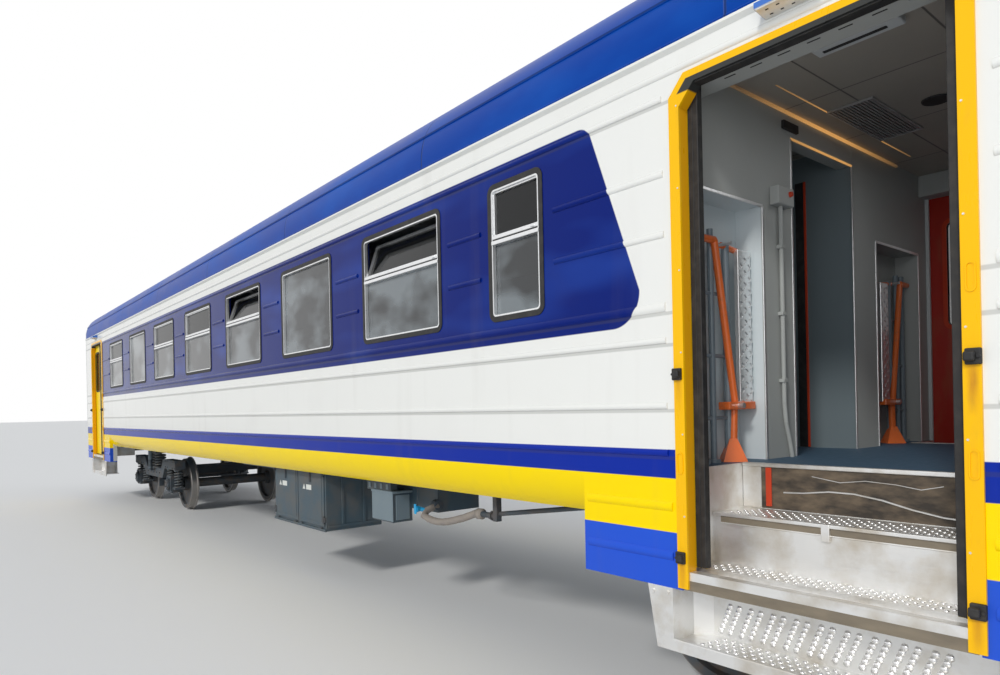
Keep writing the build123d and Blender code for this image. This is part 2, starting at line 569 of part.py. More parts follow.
# Boxes hung below the floor.
cabinet = box(10700, 12040, -1500, -860, 550, UNDERFRAME_Z)
battery = box(5560, 7260, 860, 1500, 560, UNDERFRAME_Z)
save("equipment_cabinets", cabinet, battery)
small = box(13020, 13370, -1500, -1300, 790, 1060) + box(12900, 13320, -1490, -1420, 1060, 1137)
small += box(13100, 13780, -1300, -860, 900, SIDE_SILL_LOW)
save("brake_equipment", small)
tanks = []
for y in (-420, 420):
    tank = rod((6700, y, 1060), (8700, y, 1060), 150)
    for station in (7000, 8400):
        tank += box(station - 30, station + 30, y - 60, y + 60, 1060, UNDERFRAME_Z)
    tanks.append(tank)
save("air_reservoirs", *tanks)


# Bogies. Everything below is drawn with the pivot at X = 0 and moved to its station.
def spring(x, y, z0, z1, radius, wire, turns):
    """A coil spring as a body of revolution: one rounded ring for each turn on a core."""
    pitch = (z1 - z0) / turns
    core = radius - wire
    steps = [(core, z0)]
    for k in range(turns):
        low = z0 + pitch * k
        steps.append(((radius, low + pitch / 2), (core, low + pitch)))
    steps.append((0, z1))
    face = outline((0, z0), *steps)
    return Pos(x, y, 0) * revolve(Plane.XZ * face, Axis.Z)


SEAT_LOW, BEAM_LOW, BEAM_TOP = 430, 760, 930
NECK_LOW, NECK_TOP = 560, 740
BOLSTER_LOW, BOLSTER_TOP = 1040, 1170
SIDE_Y = (SIDE_BEAM_IN + SIDE_BEAM_OUT) / 2


def bogie_frame():
    half = [(640, NECK_LOW), (820, BEAM_LOW), (1520, BEAM_LOW), (1560, BEAM_LOW + 30), (1560, BEAM_TOP),
            (720, BEAM_TOP), (540, NECK_TOP)]
    other = [(-x, z) for x, z in reversed(half)]
    side_beam = across_y(outline(half[0], *half[1:], *other), SIDE_BEAM_IN, SIDE_BEAM_OUT)
    pieces = [on_side(side, side_beam) for side in (1, -1)]
    for x0 in (-330, 210):
        pieces.append(box(x0, x0 + 120, -SIDE_BEAM_IN, SIDE_BEAM_IN, 580, 720))
    bolster = box(-290, 290, -1140, 1140, BOLSTER_LOW, BOLSTER_TOP)
    bolster -= rod((0, 0, BOLSTER_LOW), (0, 0, BOLSTER_TOP), PIN_BORE_R)
    return fuse(pieces), bolster


def bogie_springs():
    springs = []
    for side in (1, -1):
        for axle in (-HALF_WHEELBASE, HALF_WHEELBASE):
            for x in (axle - 240, axle + 240):
                springs.append(spring(x, side * SIDE_Y, SEAT_LOW, BEAM_LOW, 80, 15, 7))
        for x in (-150, 150):
            springs.append(spring(x, side * SIDE_Y, NECK_TOP, BOLSTER_LOW, 112, 19, 6))
    return springs


def axleboxes():
    boxes = []
    for axle in (-HALF_WHEELBASE, HALF_WHEELBASE):
        body = box(axle - 150, axle + 150, 915, 1130, WHEEL_R - 150, WHEEL_R + 165)
        body += box(axle - 330, axle + 330, SIDE_BEAM_IN, SIDE_BEAM_OUT, SEAT_LOW - 35, SEAT_LOW)
        body += rod((axle, 1130, WHEEL_R), (axle, 1165, WHEEL_R), 115)
        body -= rod((axle, 915, WHEEL_R), (axle, 1112, WHEEL_R), JOURNAL_BORE_R)
        boxes += [on_side(side, body) for side in (1, -1)]
    return boxes


def brake_gear():
    """Shoes on hangers at the inner side of each wheel, tied by a round bar, and a damper each side."""
    pieces = []
    for way in (-1, 1):
        axle = way * HALF_WHEELBASE
        rig = []
        for side in (1, -1):
            ring = rod((axle, 765, WHEEL_R), (axle, 845, WHEEL_R), WHEEL_R + 62)
            ring -= rod((axle, 765, WHEEL_R), (axle, 845, WHEEL_R), WHEEL_R + 9)
            reach = sorted((axle - way * 440, axle - way * 600))
            shoe = ring & box(*reach, 765, 845, WHEEL_R - 190, WHEEL_R + 150)
            hang = sorted((axle - way * 520, axle - way * 560))
            shoe += box(*hang, 790, 830, WHEEL_R - 60, 840)
            shoe += box(*hang, 830, SIDE_BEAM_IN, 800, 840)
            rig.append(on_side(side, shoe))
        rig.append(rod((axle - way * 540, -800, 430), (axle - way * 540, 800, 430), 24))
        pieces.append(fuse(rig))
    for side in (1, -1):
        damper = rod((60, 1185, 700), (60, 1185, 1090), 38)
        damper += box(30, 90, SIDE_BEAM_OUT, 1185, 680, 720)
        damper += box(30, 90, 1140, 1185, 1070, 1110)
        pieces.append(on_side(side, damper))
    return pieces


def wheelset():
    """Axle and two wheels, turned about the axle's line."""
    half = [(690, 85), (690, 128), (762, 136), (774, 388), (722, 400), (722, 486), (730, 503), (744, 503),
            (751, 487), (760, 477), (845, 471), (852, 464), (852, 400), (808, 388), (800, 136), (880, 126),
            (880, 78), (905, 78), (912, JOURNAL_R), (1100, JOURNAL_R), (1100, 0)]
    other = [flip(point) for point in reversed(half)]
    return revolve(Plane.YZ * outline(*other, *half), Axis.Y)


axle_number = 1
for name, pivot in PIVOTS:
    place = Pos(pivot, 0, 0)
    save(f"bogie_frame_{name}", *[place * solid for solid in bogie_frame()])
    save(f"bogie_springs_{name}", *[place * solid for solid in bogie_springs()])
    save(f"axleboxes_{name}", *[place * solid for solid in axleboxes()])
    save(f"brake_gear_{name}", *[place * solid for solid in brake_gear()])
    for axle in (-HALF_WHEELBASE, HALF_WHEELBASE):
        save(f"wheelset_{axle_number}", Pos(pivot + axle, 0, WHEEL_R) * wheelset())
        axle_number += 1
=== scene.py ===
from math import cos, pi, radians, sin

import bmesh
import bpy
from mathutils import Matrix, Vector


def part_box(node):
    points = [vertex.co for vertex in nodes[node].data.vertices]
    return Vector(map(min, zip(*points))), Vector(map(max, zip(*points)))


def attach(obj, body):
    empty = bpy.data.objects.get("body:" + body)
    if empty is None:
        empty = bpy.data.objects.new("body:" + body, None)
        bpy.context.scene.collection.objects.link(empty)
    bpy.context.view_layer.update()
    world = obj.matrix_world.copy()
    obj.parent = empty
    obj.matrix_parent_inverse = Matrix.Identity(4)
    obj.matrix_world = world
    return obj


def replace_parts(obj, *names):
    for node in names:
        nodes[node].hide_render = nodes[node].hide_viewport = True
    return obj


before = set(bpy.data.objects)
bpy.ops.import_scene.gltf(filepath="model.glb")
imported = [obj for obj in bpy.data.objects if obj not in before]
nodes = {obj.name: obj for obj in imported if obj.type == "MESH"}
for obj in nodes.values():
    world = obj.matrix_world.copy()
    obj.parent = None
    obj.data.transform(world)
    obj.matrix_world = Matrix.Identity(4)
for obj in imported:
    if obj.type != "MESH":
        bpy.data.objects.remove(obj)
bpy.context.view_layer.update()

# The coach stands on a pale floor under a soft white sky. Its wheel flanges reach FLANGE below the level that
# heights are measured from. Its middle is MIDDLE from either end, so a place that is counted from the rear
# end has MIDDLE taken off.
FLANGE, MIDDLE = 0.028, 10.4


class Sock:
    """A shader socket that takes plain arithmetic."""

    def __init__(self, owner, socket):
        self.owner, self.socket = owner, socket

    def maths(self, operation, other=0.0, swap=False, clamp=False):
        first, second = (other, self) if swap else (self, other)
        return self.owner.node("Math", {"operation": operation, "use_clamp": clamp}, {0: first, 1: second})

    def __add__(self, other):
        return self.maths("ADD", other)

    __radd__ = __add__

    def __sub__(self, other):
        return self.maths("SUBTRACT", other)

    def __rsub__(self, other):
        return self.maths("SUBTRACT", other, swap=True)

    def __mul__(self, other):
        return self.maths("MULTIPLY", other)

    __rmul__ = __mul__

    def __truediv__(self, other):
        return self.maths("DIVIDE", other)

    def __abs__(self):
        return self.maths("ABSOLUTE")

    def least(self, other):
        return self.maths("MINIMUM", other)

    def most(self, other):
        return self.maths("MAXIMUM", other)

    def clamped(self):
        return self.maths("ADD", clamp=True)

    def fract(self):
        return self.maths("FRACT")

    def above(self, level_at, soft=0.004):
        """Goes from 0 to 1 as the value passes a level, over a soft width."""
        return ((self - level_at) / soft).maths("ADD", 0.5, clamp=True)

    def near(self, middle, half, soft=0.004):
        """Is 1 within half a width of a middle value, and 0 beyond it."""
        return 1.0 - abs(self - middle).above(half, soft)

    def corner(self, other):
        """The distance that two offsets at right angles make."""
        return (self * self + other * other).maths("POWER", 0.5)


class Tree:
    """The nodes of one material or of the sky."""

    def __init__(self, owner):
        owner.use_nodes = True
        self.tree = owner.node_tree
        self.tree.nodes.clear()

    def node(self, kind, settings=None, inputs=None, out=0):
        """Adds a node with its settings, and with a value or a link for each input."""
        made = self.tree.nodes.new("ShaderNode" + kind)
        for key, value in (settings or {}).items():
            setattr(made, key, value)
        for key, value in (inputs or {}).items():
            if isinstance(value, Sock):
                self.tree.links.new(value.socket, made.inputs[key])
            else:
                made.inputs[key].default_value = value
        return Sock(self, made.outputs[out]) if made.outputs else made


class Finish(Tree):
    """One procedural material. It is laid out in metres from the middle and above the running level."""

    def __init__(self, name):
        self.material = bpy.data.materials.new(name)
        super().__init__(self.material)
        self.place = self.node("TexCoord", out="Object")
        self.x, self.y, self.z = (self.node("SeparateXYZ", {}, {0: self.place}, out=i) for i in range(3))
        self.z = self.z - FLANGE

    def noise(self, scale, detail=3.0, stretch=(1, 1, 1), rough=0.55):
        spread = self.node("VectorMath", {"operation": "MULTIPLY"}, {0: self.place, 1: stretch})
        inputs = {"Vector": spread, "Scale": scale, "Detail": detail, "Roughness": rough}
        return self.node("TexNoise", {}, inputs)

    def mix(self, share, first, second):
        first, second = (c if isinstance(c, Sock) else (*c, 1.0) for c in (first, second))
        return self.node("Mix", {"data_type": "RGBA"}, {0: share, 6: first, 7: second}, out=2)

    def close(self, colour, roughness, metallic=0.0, bump=None, bump_depth=0.001, bump_strength=0.5, coat=0.0,
              alpha=1.0, shine=0.5, glow=None, glow_strength=0.0):
        colour = colour if isinstance(colour, Sock) else (*colour, 1.0)
        inputs = {"Base Color": colour, "Roughness": roughness, "Metallic": metallic, "Coat Weight": coat,
                  "Alpha": alpha, "Specular IOR Level": shine}
        if bump is not None:
            relief = {"Strength": bump_strength, "Distance": bump_depth, "Height": bump}
            inputs["Normal"] = self.node("Bump", {}, relief)
        if glow is not None:
            inputs.update({"Emission Color": glow, "Emission Strength": glow_strength})
        self.node("OutputMaterial", {}, {"Surface": self.node("BsdfPrincipled", {}, inputs)})
        return self.material


FLOOR_SIZE = 400
floor_bm = bmesh.new()
bmesh.ops.create_grid(floor_bm, x_segments=1, y_segments=1, size=FLOOR_SIZE)
floor_mesh = bpy.data.meshes.new("studio_floor")
floor_bm.to_mesh(floor_mesh)
floor_bm.free()
floor_mesh.materials.append(Finish("pale_floor").close((0.86, 0.87, 0.88), 0.9))
studio_floor = bpy.data.objects.new("studio_floor", floor_mesh)
bpy.context.collection.objects.link(studio_floor)

SKY, BACKDROP = 0.50, 1.0
world = bpy.data.worlds.new("soft_sky")
bpy.context.scene.world = world
air = Tree(world)
to_camera, glossy, through = (air.node("LightPath", out=f"Is {ray} Ray")
                              for ray in ("Camera", "Glossy", "Transmission"))
sky = air.node("Background", {}, {"Color": (0.93, 0.96, 1.0, 1.0), "Strength": SKY})
backdrop = air.node("Background", {}, {"Color": (1.0, 1.0, 1.0, 1.0), "Strength": BACKDROP})
seen = to_camera.most(glossy).most(through)
air.node("OutputWorld", {}, {"Surface": air.node("MixShader", {}, {0: seen, 1: sky, 2: backdrop})})


# One broad lamp is a hazy sun from the front right. Three smaller ones fill the open doorway, its vestibule
# and the shaded side.
def hang_lamp(name, kind, place, target, **settings):
    """Hangs a lamp at a place and turns it to its target."""
    lamp = bpy.data.lights.new(name, kind)
    for key, value in settings.items():
        setattr(lamp, key, value)
    holder = bpy.data.objects.new(name, lamp)
    bpy.context.collection.objects.link(holder)
    way = Vector(place) - Vector(target)
    holder.matrix_world = Matrix.Translation(place) @ way.to_track_quat("Z", "Y").to_matrix().to_4x4()


hang_lamp("hazy_sun", "SUN", (6.0, -16.0, 11.0), (0.0, 0.0, 0.0), energy=1.45, angle=radians(9),
          color=(1.0, 0.975, 0.93))
hang_lamp("doorway_fill", "AREA", (9.6, -7.5, 3.2), (6.8, -0.4, 2.4), size=3.0, energy=70)
hang_lamp("vestibule_lamp", "AREA", (7.3, -0.2, 3.5), (7.3, -0.2, 1.5), size=1.1, energy=5)
hang_lamp("far_side_fill", "AREA", (0.0, 14.0, 8.0), (0.0, 0.0, 2.0), size=8.0, energy=300)

# The camera stands close by the front door at head height. It looks back along the side and leans a little,
# and its lens is shifted upwards.
LENS, SENSOR, SHIFT_UP = 25.2, 36.0, 0.0710
EYE, VIEW_TURN, VIEW_ROLL = (8.343, -4.671, 1.807), radians(39.41), 0.0208
camera_data = bpy.data.cameras.new("photo_camera")
camera_data.lens = LENS
camera_data.sensor_width = SENSOR
camera_data.shift_y = SHIFT_UP
camera_data.clip_end = 900
camera = bpy.data.objects.new("photo_camera", camera_data)
bpy.context.collection.objects.link(camera)
bpy.context.scene.camera = camera
bpy.context.scene.view_settings.view_transform = "Standard"
back = Vector((cos(VIEW_TURN), -sin(VIEW_TURN), 0))
level = Vector((sin(VIEW_TURN), cos(VIEW_TURN), 0))
upright = Vector((0, 0, 1))
right = level * cos(VIEW_ROLL) - upright * sin(VIEW_ROLL)
top = upright * cos(VIEW_ROLL) + level * sin(VIEW_ROLL)
camera.matrix_world = Matrix.Translation(EYE) @ Matrix((right, top, back)).transposed().to_4x4()

# Side walls, gutters, ribs and the flat blocks below the door pockets are sheet metal in one glossy livery of
# white, blue and yellow bands. The blue carries soft lighter clouds of painted sheen, a thin line of painted
# shade lies below each rib, and dust runs down in faint streaks.
DOOR_X, FAR_DOOR_X = 6.84, -9.11
DOORWAYS = ((FAR_DOOR_X, 0.620), (DOOR_X, 0.665))
WHITE, BLUE, YELLOW = (0.82, 0.83, 0.81), (0.0, 0.012, 0.17), (1.0, 0.73, 0.0)
STRIPE_BLUE, LOW_BLUE, BLUE_SHEEN = (0.004, 0.026, 0.35), (0.020, 0.095, 0.66), (0.02, 0.08, 0.46)
BAND_TOP, STRIPE_TOP, YELLOW_TOP, LOW_BLUE_TOP = 3.37, 1.552, 1.405, 1.13
CORNER_AWAY, CORNER_HIGH, CORNER_R, SLANT = 1.072, 2.390, 0.190, 0.36
TOP_AWAY, TOP_HIGH, TOP_R = 1.312, 3.250, 0.120
RIB_FEET, RIB_SHADE_COLOUR, GRIME = (1.515, 1.757, 2.092, 2.254, 3.322), (0.06, 0.06, 0.05), (0.20, 0.17, 0.13)


def dress(material, *names):
    """Gives CAD nodes their finish."""
    for name in names:
        mesh = nodes[name].data
        mesh.materials.clear()
        mesh.materials.append(material)


def livery(finish):
    """The painted side's bands. The window band has a slanted, rounded end beside the door."""
    high = finish.z
    away = abs(finish.x - DOOR_X)
    lower_corner = (CORNER_AWAY - away).most(0.0).corner((CORNER_HIGH - high).most(0.0))
    band = CORNER_R - lower_corner
    band = band.least(away - (high - CORNER_HIGH) * SLANT - (CORNER_AWAY - CORNER_R))
    upper_corner = (TOP_AWAY - away).most(0.0).corner((high - TOP_HIGH).most(0.0))
    band = band.least(TOP_R - upper_corner + (TOP_HIGH - high).most(0.0) * 9.0)
    band = band.least(BAND_TOP - high).least(finish.x - (FAR_DOOR_X + DOORWAYS[0][1]))
    # Soft lighter clouds on the blue are a painted sheen, a painted reflection.
    sheen = finish.noise(1.2, 2.0, (0.6, 1, 1.8)).above(0.60, 0.20)
    colour = finish.mix(band.above(0, 0.006), WHITE, finish.mix(sheen * 0.4, BLUE, BLUE_SHEEN))
    for band_top, paint in ((STRIPE_TOP, STRIPE_BLUE), (YELLOW_TOP, YELLOW), (LOW_BLUE_TOP, LOW_BLUE)):
        colour = finish.mix((band_top - high).above(0), colour, paint)
    # A thin line of painted shade darkens the paint just below each rib.
    under_rib_shade = 0.0
    for foot in RIB_FEET:
        under_rib_shade = high.near(foot - 0.007, 0.009, 0.006).most(under_rib_shade)
    return finish.mix(under_rib_shade * 0.30, colour, RIB_SHADE_COLOUR)


def paint_wear(finish, colour, share=0.34):
    """Dust and rain streaks over a paint, heavier low down."""
    streaks = finish.noise(3.0, 3.0, (1.5, 1.5, 0.12))
    blotch = finish.noise(0.9, 3.0)
    amount = (streaks - 0.57).most(0.0) * 1.1 + (blotch - 0.58).most(0.0) * 0.8
    amount = amount + (1.722 - finish.z).clamped() * 0.06
    return finish.mix((amount * share).clamped(), colour, GRIME), blotch


side = Finish("side_livery")
side_colour, side_streaks = paint_wear(side, livery(side))
dents = side.noise(1.7, 1.0, (1, 1, 1.6))
body_paint = side.close(side_colour, side_streaks * 0.12 + 0.10, bump=dents, bump_depth=0.008,
                        bump_strength=0.4, coat=0.03, shine=0.10)
dress(body_paint, "side_wall_left", "side_wall_right", "cantrails", "body_ribs", "pocket_skirts")

# The end walls are plain sheet round the gangway, painted grey white. They are duller than the sides, because
# more dust gathers there.
ends = Finish("end_wall_paint")
end_colour, end_streaks = paint_wear(ends, (0.62, 0.64, 0.63), share=0.6)
dress(ends.close(end_colour, end_streaks * 0.3 + 0.35), "end_walls")

# The roof is one blue shell of welded sheets with a pressed groove along each shoulder and seams across it.
# The ventilators are of the same sheet, and it all turns a lighter blue and rougher in clouds.
GROOVE_Z, SEAM_PITCH = 3.85, 2.6
roof = Finish("roof_paint")
roof_clouds = roof.noise(2.2, 4.0, (0.5, 1, 1))
pressed = roof.z.near(GROOVE_Z, 0.006, 0.006).most((roof.x / SEAM_PITCH).fract().near(0.5, 0.0025, 0.002))
roof_colour = roof.mix(((roof_clouds - 0.42).most(0.0) * 1.5).clamped(), (0.0, 0.050, 0.34), (0.01, 0.12, 0.54))
roof_colour = roof.mix(pressed * 0.75, roof_colour, (0.012, 0.03, 0.12))
roof_paint = roof.close(roof_colour, roof_clouds * 0.3 + 0.20, bump=1.0 - pressed, bump_depth=0.006, coat=0.02,
                        shine=0.08)
dress(roof_paint, "roof_shell", "roof_vents")

# Door surrounds are pressed yellow frames with a dark lip round the doorway's head. Their faces turned into the
# doorway are a darker amber, painted shade. Rust runs down below each black buffer on their jambs.
BUFFER_HEIGHTS, SURROUND_YELLOW, HEADER_TOP = (1.012, 1.932), (0.95, 0.52, 0.0), 3.42
surround = Finish("surround_yellow")
rust_cloud = surround.noise(9.0, 5.0, (2, 2, 0.5))
run_down, on_jamb = 0.0, 0.0
for buffer_z in BUFFER_HEIGHTS:
    below = buffer_z - surround.z
    run_down = (below.above(0.0, 0.03) * (1.0 - below.above(0.16, 0.12))).most(run_down)
for centre, half in DOORWAYS:
    on_jamb = abs(surround.x - centre).near(half - 0.028, 0.014, 0.02).most(on_jamb)
# The faces turned into the doorway are painted a darker amber as shade.
turned_in_shade = (1.738 - abs(surround.y)).above(0.0, 0.01)
yellow = surround.mix(turned_in_shade * 0.75, SURROUND_YELLOW, (0.80, 0.36, 0.004))
rust = run_down * on_jamb * ((rust_cloud - 0.25) * 1.7)
yellow = surround.mix(rust.clamped(), yellow, (0.42, 0.13, 0.02))
yellow = surround.mix((rust_cloud - 0.6).most(0.0) * 0.9, yellow, (0.35, 0.24, 0.05))
for centre, half in DOORWAYS:
    aside = abs(surround.x - centre)
    to_top = HEADER_TOP - surround.z
    chamfer = ((half - aside) * 0.100 + to_top * 0.090 - 0.009) / 0.1345
    lip = chamfer.least(to_top).above(0.034, 0.003)
    lip = lip * surround.z.above(3.325, 0.006) * (0.8 - aside).above(0.0)
    yellow = surround.mix(lip, yellow, (0.035, 0.037, 0.036))
surround_paint = surround.close(yellow, rust_cloud * 0.25 + 0.18, bump=rust_cloud, bump_depth=0.0006,
                                coat=0.05, shine=0.25)
dress(surround_paint, "door_surrounds")

# Door leaves are pressed sheet, enamelled yellow outside and orange red inside. Each holds a dark pane in its
# upper half, and the enamel is browned by wear.
LEAF_PANE_Y, PANE_HALF, PANE_SOFT = 1.654, 0.0048, 0.0004
leaf = Finish("leaf_enamel")
leaf_wear = leaf.noise(7.0, 4.0, (1.5, 1.5, 0.4))
in_pane = abs(leaf.y).near(LEAF_PANE_Y, PANE_HALF, PANE_SOFT)
leaf_colour = leaf.mix(abs(leaf.y).above(1.655, 0.002), (0.42, 0.016, 0.006), YELLOW)
leaf_colour = leaf.mix((leaf_wear - 0.55).most(0.0) * 1.3, leaf_colour, (0.25, 0.13, 0.04))
leaf_colour = leaf.mix(in_pane, leaf_colour, (0.012, 0.018, 0.024))
leaf_paint = leaf.close(leaf_colour, (leaf_wear * 0.3 + 0.2) * (1.0 - in_pane * 0.85), bump=leaf_wear,
                        bump_depth=0.0006, coat=0.05, alpha=1.0 - in_pane * 0.4)
dress(leaf_paint, *[f"door_{door}_{hand}_{way}" for door in ("rear", "middle")
                    for hand in ("left", "right") for way in ("aft", "fore")])

# Lamp housings stand out over the side doors. They are pressed boxes in a lighter blue than the roof, with a
# grey underside.
housing = Finish("lamp_housing")
housing_colour = housing.mix((3.506 - housing.z).above(0.0, 0.003), (0.045, 0.16, 0.55), (0.42, 0.45, 0.48))
dress(housing.close(housing_colour, housing.noise(14.0, 3.0) * 0.25 + 0.25), "door_lamps")

# The windows' glass is tinted grey with lighter patches of painted reflection, and the hinged upper panes look
# darker. It is set in black rubber, which is dull and dusty, as the gangways' bellows are.
glass = Finish("tinted_glass")
film = glass.noise(3.0, 3.0, (1, 1, 0.5))
# The lighter grey patches are painted reflections on the glass.
painted_reflections = glass.noise(1.1, 3.0, (1.0, 1.0, 1.6), 0.6).above(0.52, 0.14)
glass_pane = glass.close(glass.mix(painted_reflections, (0.010, 0.014, 0.018), (0.15, 0.18, 0.20)), film * 0.05 + 0.01,
                         coat=0.55, alpha=painted_reflections * 0.14 + 0.74, shine=0.75)
shaded = Finish("shaded_glass")
shaded_film = shaded.noise(3.0, 3.0, (1, 1, 0.5))
shaded_pane = shaded.close((0.010, 0.011, 0.012), shaded_film * 0.08 + 0.03, alpha=0.80, shine=0.35)


def clouded(name, noise, first, second, rough=(0.0, 0.3), worn=(0.0, 1.0), relief=0.0, **looks):
    """A finish whose colour goes from the first to the second in clouds.

    worn is the level of the noise from which it shows and how strongly, rough is how much the noise roughens
    the surface and how rough it is without it, and relief is the depth of the clouds in metres.
    """
    finish = Finish(name)
    cloud = finish.noise(*noise)
    if relief:
        looks.update(bump=cloud, bump_depth=relief)
    colour = finish.mix((cloud - worn[0]).most(0.0) * worn[1], first, second)
    return finish.close(colour, cloud * rough[0] + rough[1] if rough[0] else rough[1], **looks)


rubber_seal = clouded("black_rubber", (18.0, 4.0), (0.012, 0.012, 0.013), (0.11, 0.10, 0.09), (0.3, 0.5),
                      (0.45, 0.9), 0.0004)
dress(rubber_seal, "window_frames", "gangway_bellows")

# Steps, wells and cheeks are folded aluminium. It is scuffed along the coach, and dirt stains it brown in
# clouds.
alu = Finish("step_aluminium")
alu_stain = alu.noise(5.0, 5.0)
alu_scuff = alu.noise(60.0, 2.0, (0.25, 1, 1))
alu_colour = alu.mix((alu_stain - 0.45).most(0.0) * 2.2, (0.80, 0.80, 0.79), (0.42, 0.34, 0.22))
step_metal = alu.close(alu_colour, alu_scuff * 0.3 + 0.28, metallic=0.78, bump=alu_scuff, bump_depth=0.0008)
dress(step_metal, "step_wells", "well_cheeks", "outer_steps")

# Cross walls and door linings are light grey laminate. The vestibule's lockers are a darker one, painted nearly
# slate along the passage as shade, and pale inside the recess that holds the folded lift.
PASSAGE_Y, LOCKER_FACE, RECESS_Y = 0.30, 6.165, -0.6
laminate = clouded("interior_laminate", (2.0, 3.0), (0.60, 0.63, 0.64), (0.45, 0.47, 0.47), (0.2, 0.35),
                   (0.0, 0.3))
dress(laminate, "pocket_linings", "partitions")
locker = Finish("locker_laminate")
locker_cloud = locker.noise(2.0, 3.0)
behind_face = 1.0 - locker.x.above(LOCKER_FACE)
locker_colour = locker.mix(locker_cloud * 0.3, (0.42, 0.44, 0.43), (0.33, 0.34, 0.33))
# The locker face along the passage is painted nearly slate, a painted shade.
locker_colour = locker.mix(locker.y.near(PASSAGE_Y, 0.01) * behind_face, locker_colour, (0.16, 0.20, 0.22))
in_recess = behind_face * (1.0 - locker.y.above(RECESS_Y))
locker_colour = locker.mix(in_recess, locker_colour, (0.62, 0.69, 0.72))
locker_laminate = locker.close(locker_colour, locker_cloud * 0.2 + 0.4, shine=0.3)
dress(locker_laminate, "vestibule_lockers")

# Saloon and gangway doors are dark laminate with a tinted pane, which lies at the middle of each leaf's
# thickness.
INNER_DOORS_X = (-7.886, 5.674, 8.266, -10.366, 10.366)
inner_door = Finish("saloon_door_laminate")
in_pane = 0.0
for pane_x in INNER_DOORS_X:
    in_pane = inner_door.x.near(pane_x, PANE_HALF, PANE_SOFT).most(in_pane)
inner_colour = inner_door.mix(inner_door.noise(3.0, 3.0), (0.10, 0.10, 0.10), (0.14, 0.13, 0.12))
inner_colour = inner_door.mix(in_pane, inner_colour, (0.02, 0.025, 0.03))
dress(inner_door.close(inner_colour, 0.4 - in_pane * 0.35, alpha=1.0 - in_pane * 0.4),
      "saloon_door_rear", "saloon_door_middle", "saloon_door_front", "end_door_rear", "end_door_front")

# The ceiling is warm grey panels with dark joints between them, and the floor is dark blue rubber with a fine
# grit. The racks' brackets and shelves are plain steel.
PANEL_LONG, PANEL_WIDE = 0.62, 0.8
ceiling = Finish("ceiling_panel")
joint = (ceiling.x / PANEL_LONG).fract().near(0.5, 0.008)
joint = joint.most((ceiling.y / PANEL_WIDE + 0.25).fract().near(0.5, 0.006))
ceiling_colour = ceiling.mix(ceiling.noise(1.5, 3.0), (0.40, 0.37, 0.32), (0.30, 0.28, 0.25))
ceiling_colour = ceiling.mix(joint * 0.8, ceiling_colour, (0.05, 0.05, 0.05))
dress(ceiling.close(ceiling_colour, 0.45, bump=1.0 - joint, bump_depth=0.004), "ceiling_panels")
dress(clouded("floor_rubber", (30.0, 4.0), (0.032, 0.085, 0.150), (0.065, 0.115, 0.165), (0.3, 0.45),
              (0.0, 0.6), 0.001), "floor_deck")
rack = Finish("rack_steel")
rack_metal = rack.close((0.55, 0.56, 0.57), rack.noise(20.0, 2.0) * 0.2 + 0.25, metallic=0.9)
dress(rack_metal, "luggage_racks")

# Below the floor the frame, its cabinets, reservoirs and brake gear are slate grey enamel under brake dust.
# The bogies and couplers are of the same kind of cast and welded iron, and rustier.
slate_paint = clouded("underframe_slate", (4.0, 5.0), (0.050, 0.085, 0.112), (0.14, 0.12, 0.10), (0.3, 0.42),
                      (0.4, 2.0), 0.001)
dress(slate_paint, "underframe", "equipment_cabinets", "brake_equipment", "air_reservoirs")
bogie_iron = clouded("bogie_iron", (7.0, 6.0), (0.050, 0.066, 0.082), (0.15, 0.10, 0.065), (0.35, 0.45),
                     (0.48, 2.0), 0.002)
dress(bogie_iron, "couplers", *[f"{part}_{end}" for part in ("bogie_frame", "axleboxes", "brake_gear")
                                for end in ("rear", "front")])

# Wheels are rolled steel, pressed onto their axles. Running keeps their treads bright, and the discs are
# brown with rust and brake dust.
AXLE_Z, TREAD_R, BOGIE_X, AXLE_OFF = 0.475, 0.459, 7.05, 1.2
wheel = Finish("wheel_steel")
wheel_rust = wheel.noise(12.0, 5.0)
disc = wheel.mix((wheel_rust - 0.42).most(0.0) * 2.0, (0.065, 0.075, 0.085), (0.15, 0.095, 0.055))
from_axle = (abs(abs(wheel.x) - BOGIE_X) - AXLE_OFF).corner(wheel.z - AXLE_Z)
tread = from_axle.above(TREAD_R, 0.006)
disc = wheel.mix(tread * 0.8, disc, (0.36, 0.34, 0.32))
dress(wheel.close(disc, wheel_rust * 0.3 + 0.4 - tread * 0.2, metallic=tread * 0.8, bump=wheel_rust,
                  bump_depth=0.001), *[f"wheelset_{number}" for number in (1, 2, 3, 4)])


# Bright aluminium sash frames sit inside the rubber: one line round every window and a double bar under the
# hinged upper sash. The second and sixth windows have a single pane. Two upper sashes stand tilted inwards.
def set_down(name, bm, material, body="coach_body", smooth=False, mirrored=False):
    """Makes a finished piece from its mesh, lifts it onto the flanges and lets it ride on its body."""
    if mirrored:
        bmesh.ops.mirror(bm, geom=bm.verts[:] + bm.edges[:] + bm.faces[:], axis="Y", merge_dist=0.0)
    bmesh.ops.translate(bm, vec=(0, 0, FLANGE), verts=bm.verts)
    bmesh.ops.recalc_face_normals(bm, faces=bm.faces)
    mesh = bpy.data.meshes.new(name)
    bm.to_mesh(mesh)
    bm.free()
    mesh.materials.append(material)
    for polygon in mesh.polygons:
        polygon.use_smooth = smooth
    piece = bpy.data.objects.new(name, mesh)
    bpy.context.collection.objects.link(piece)
    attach(piece, body)
    return piece


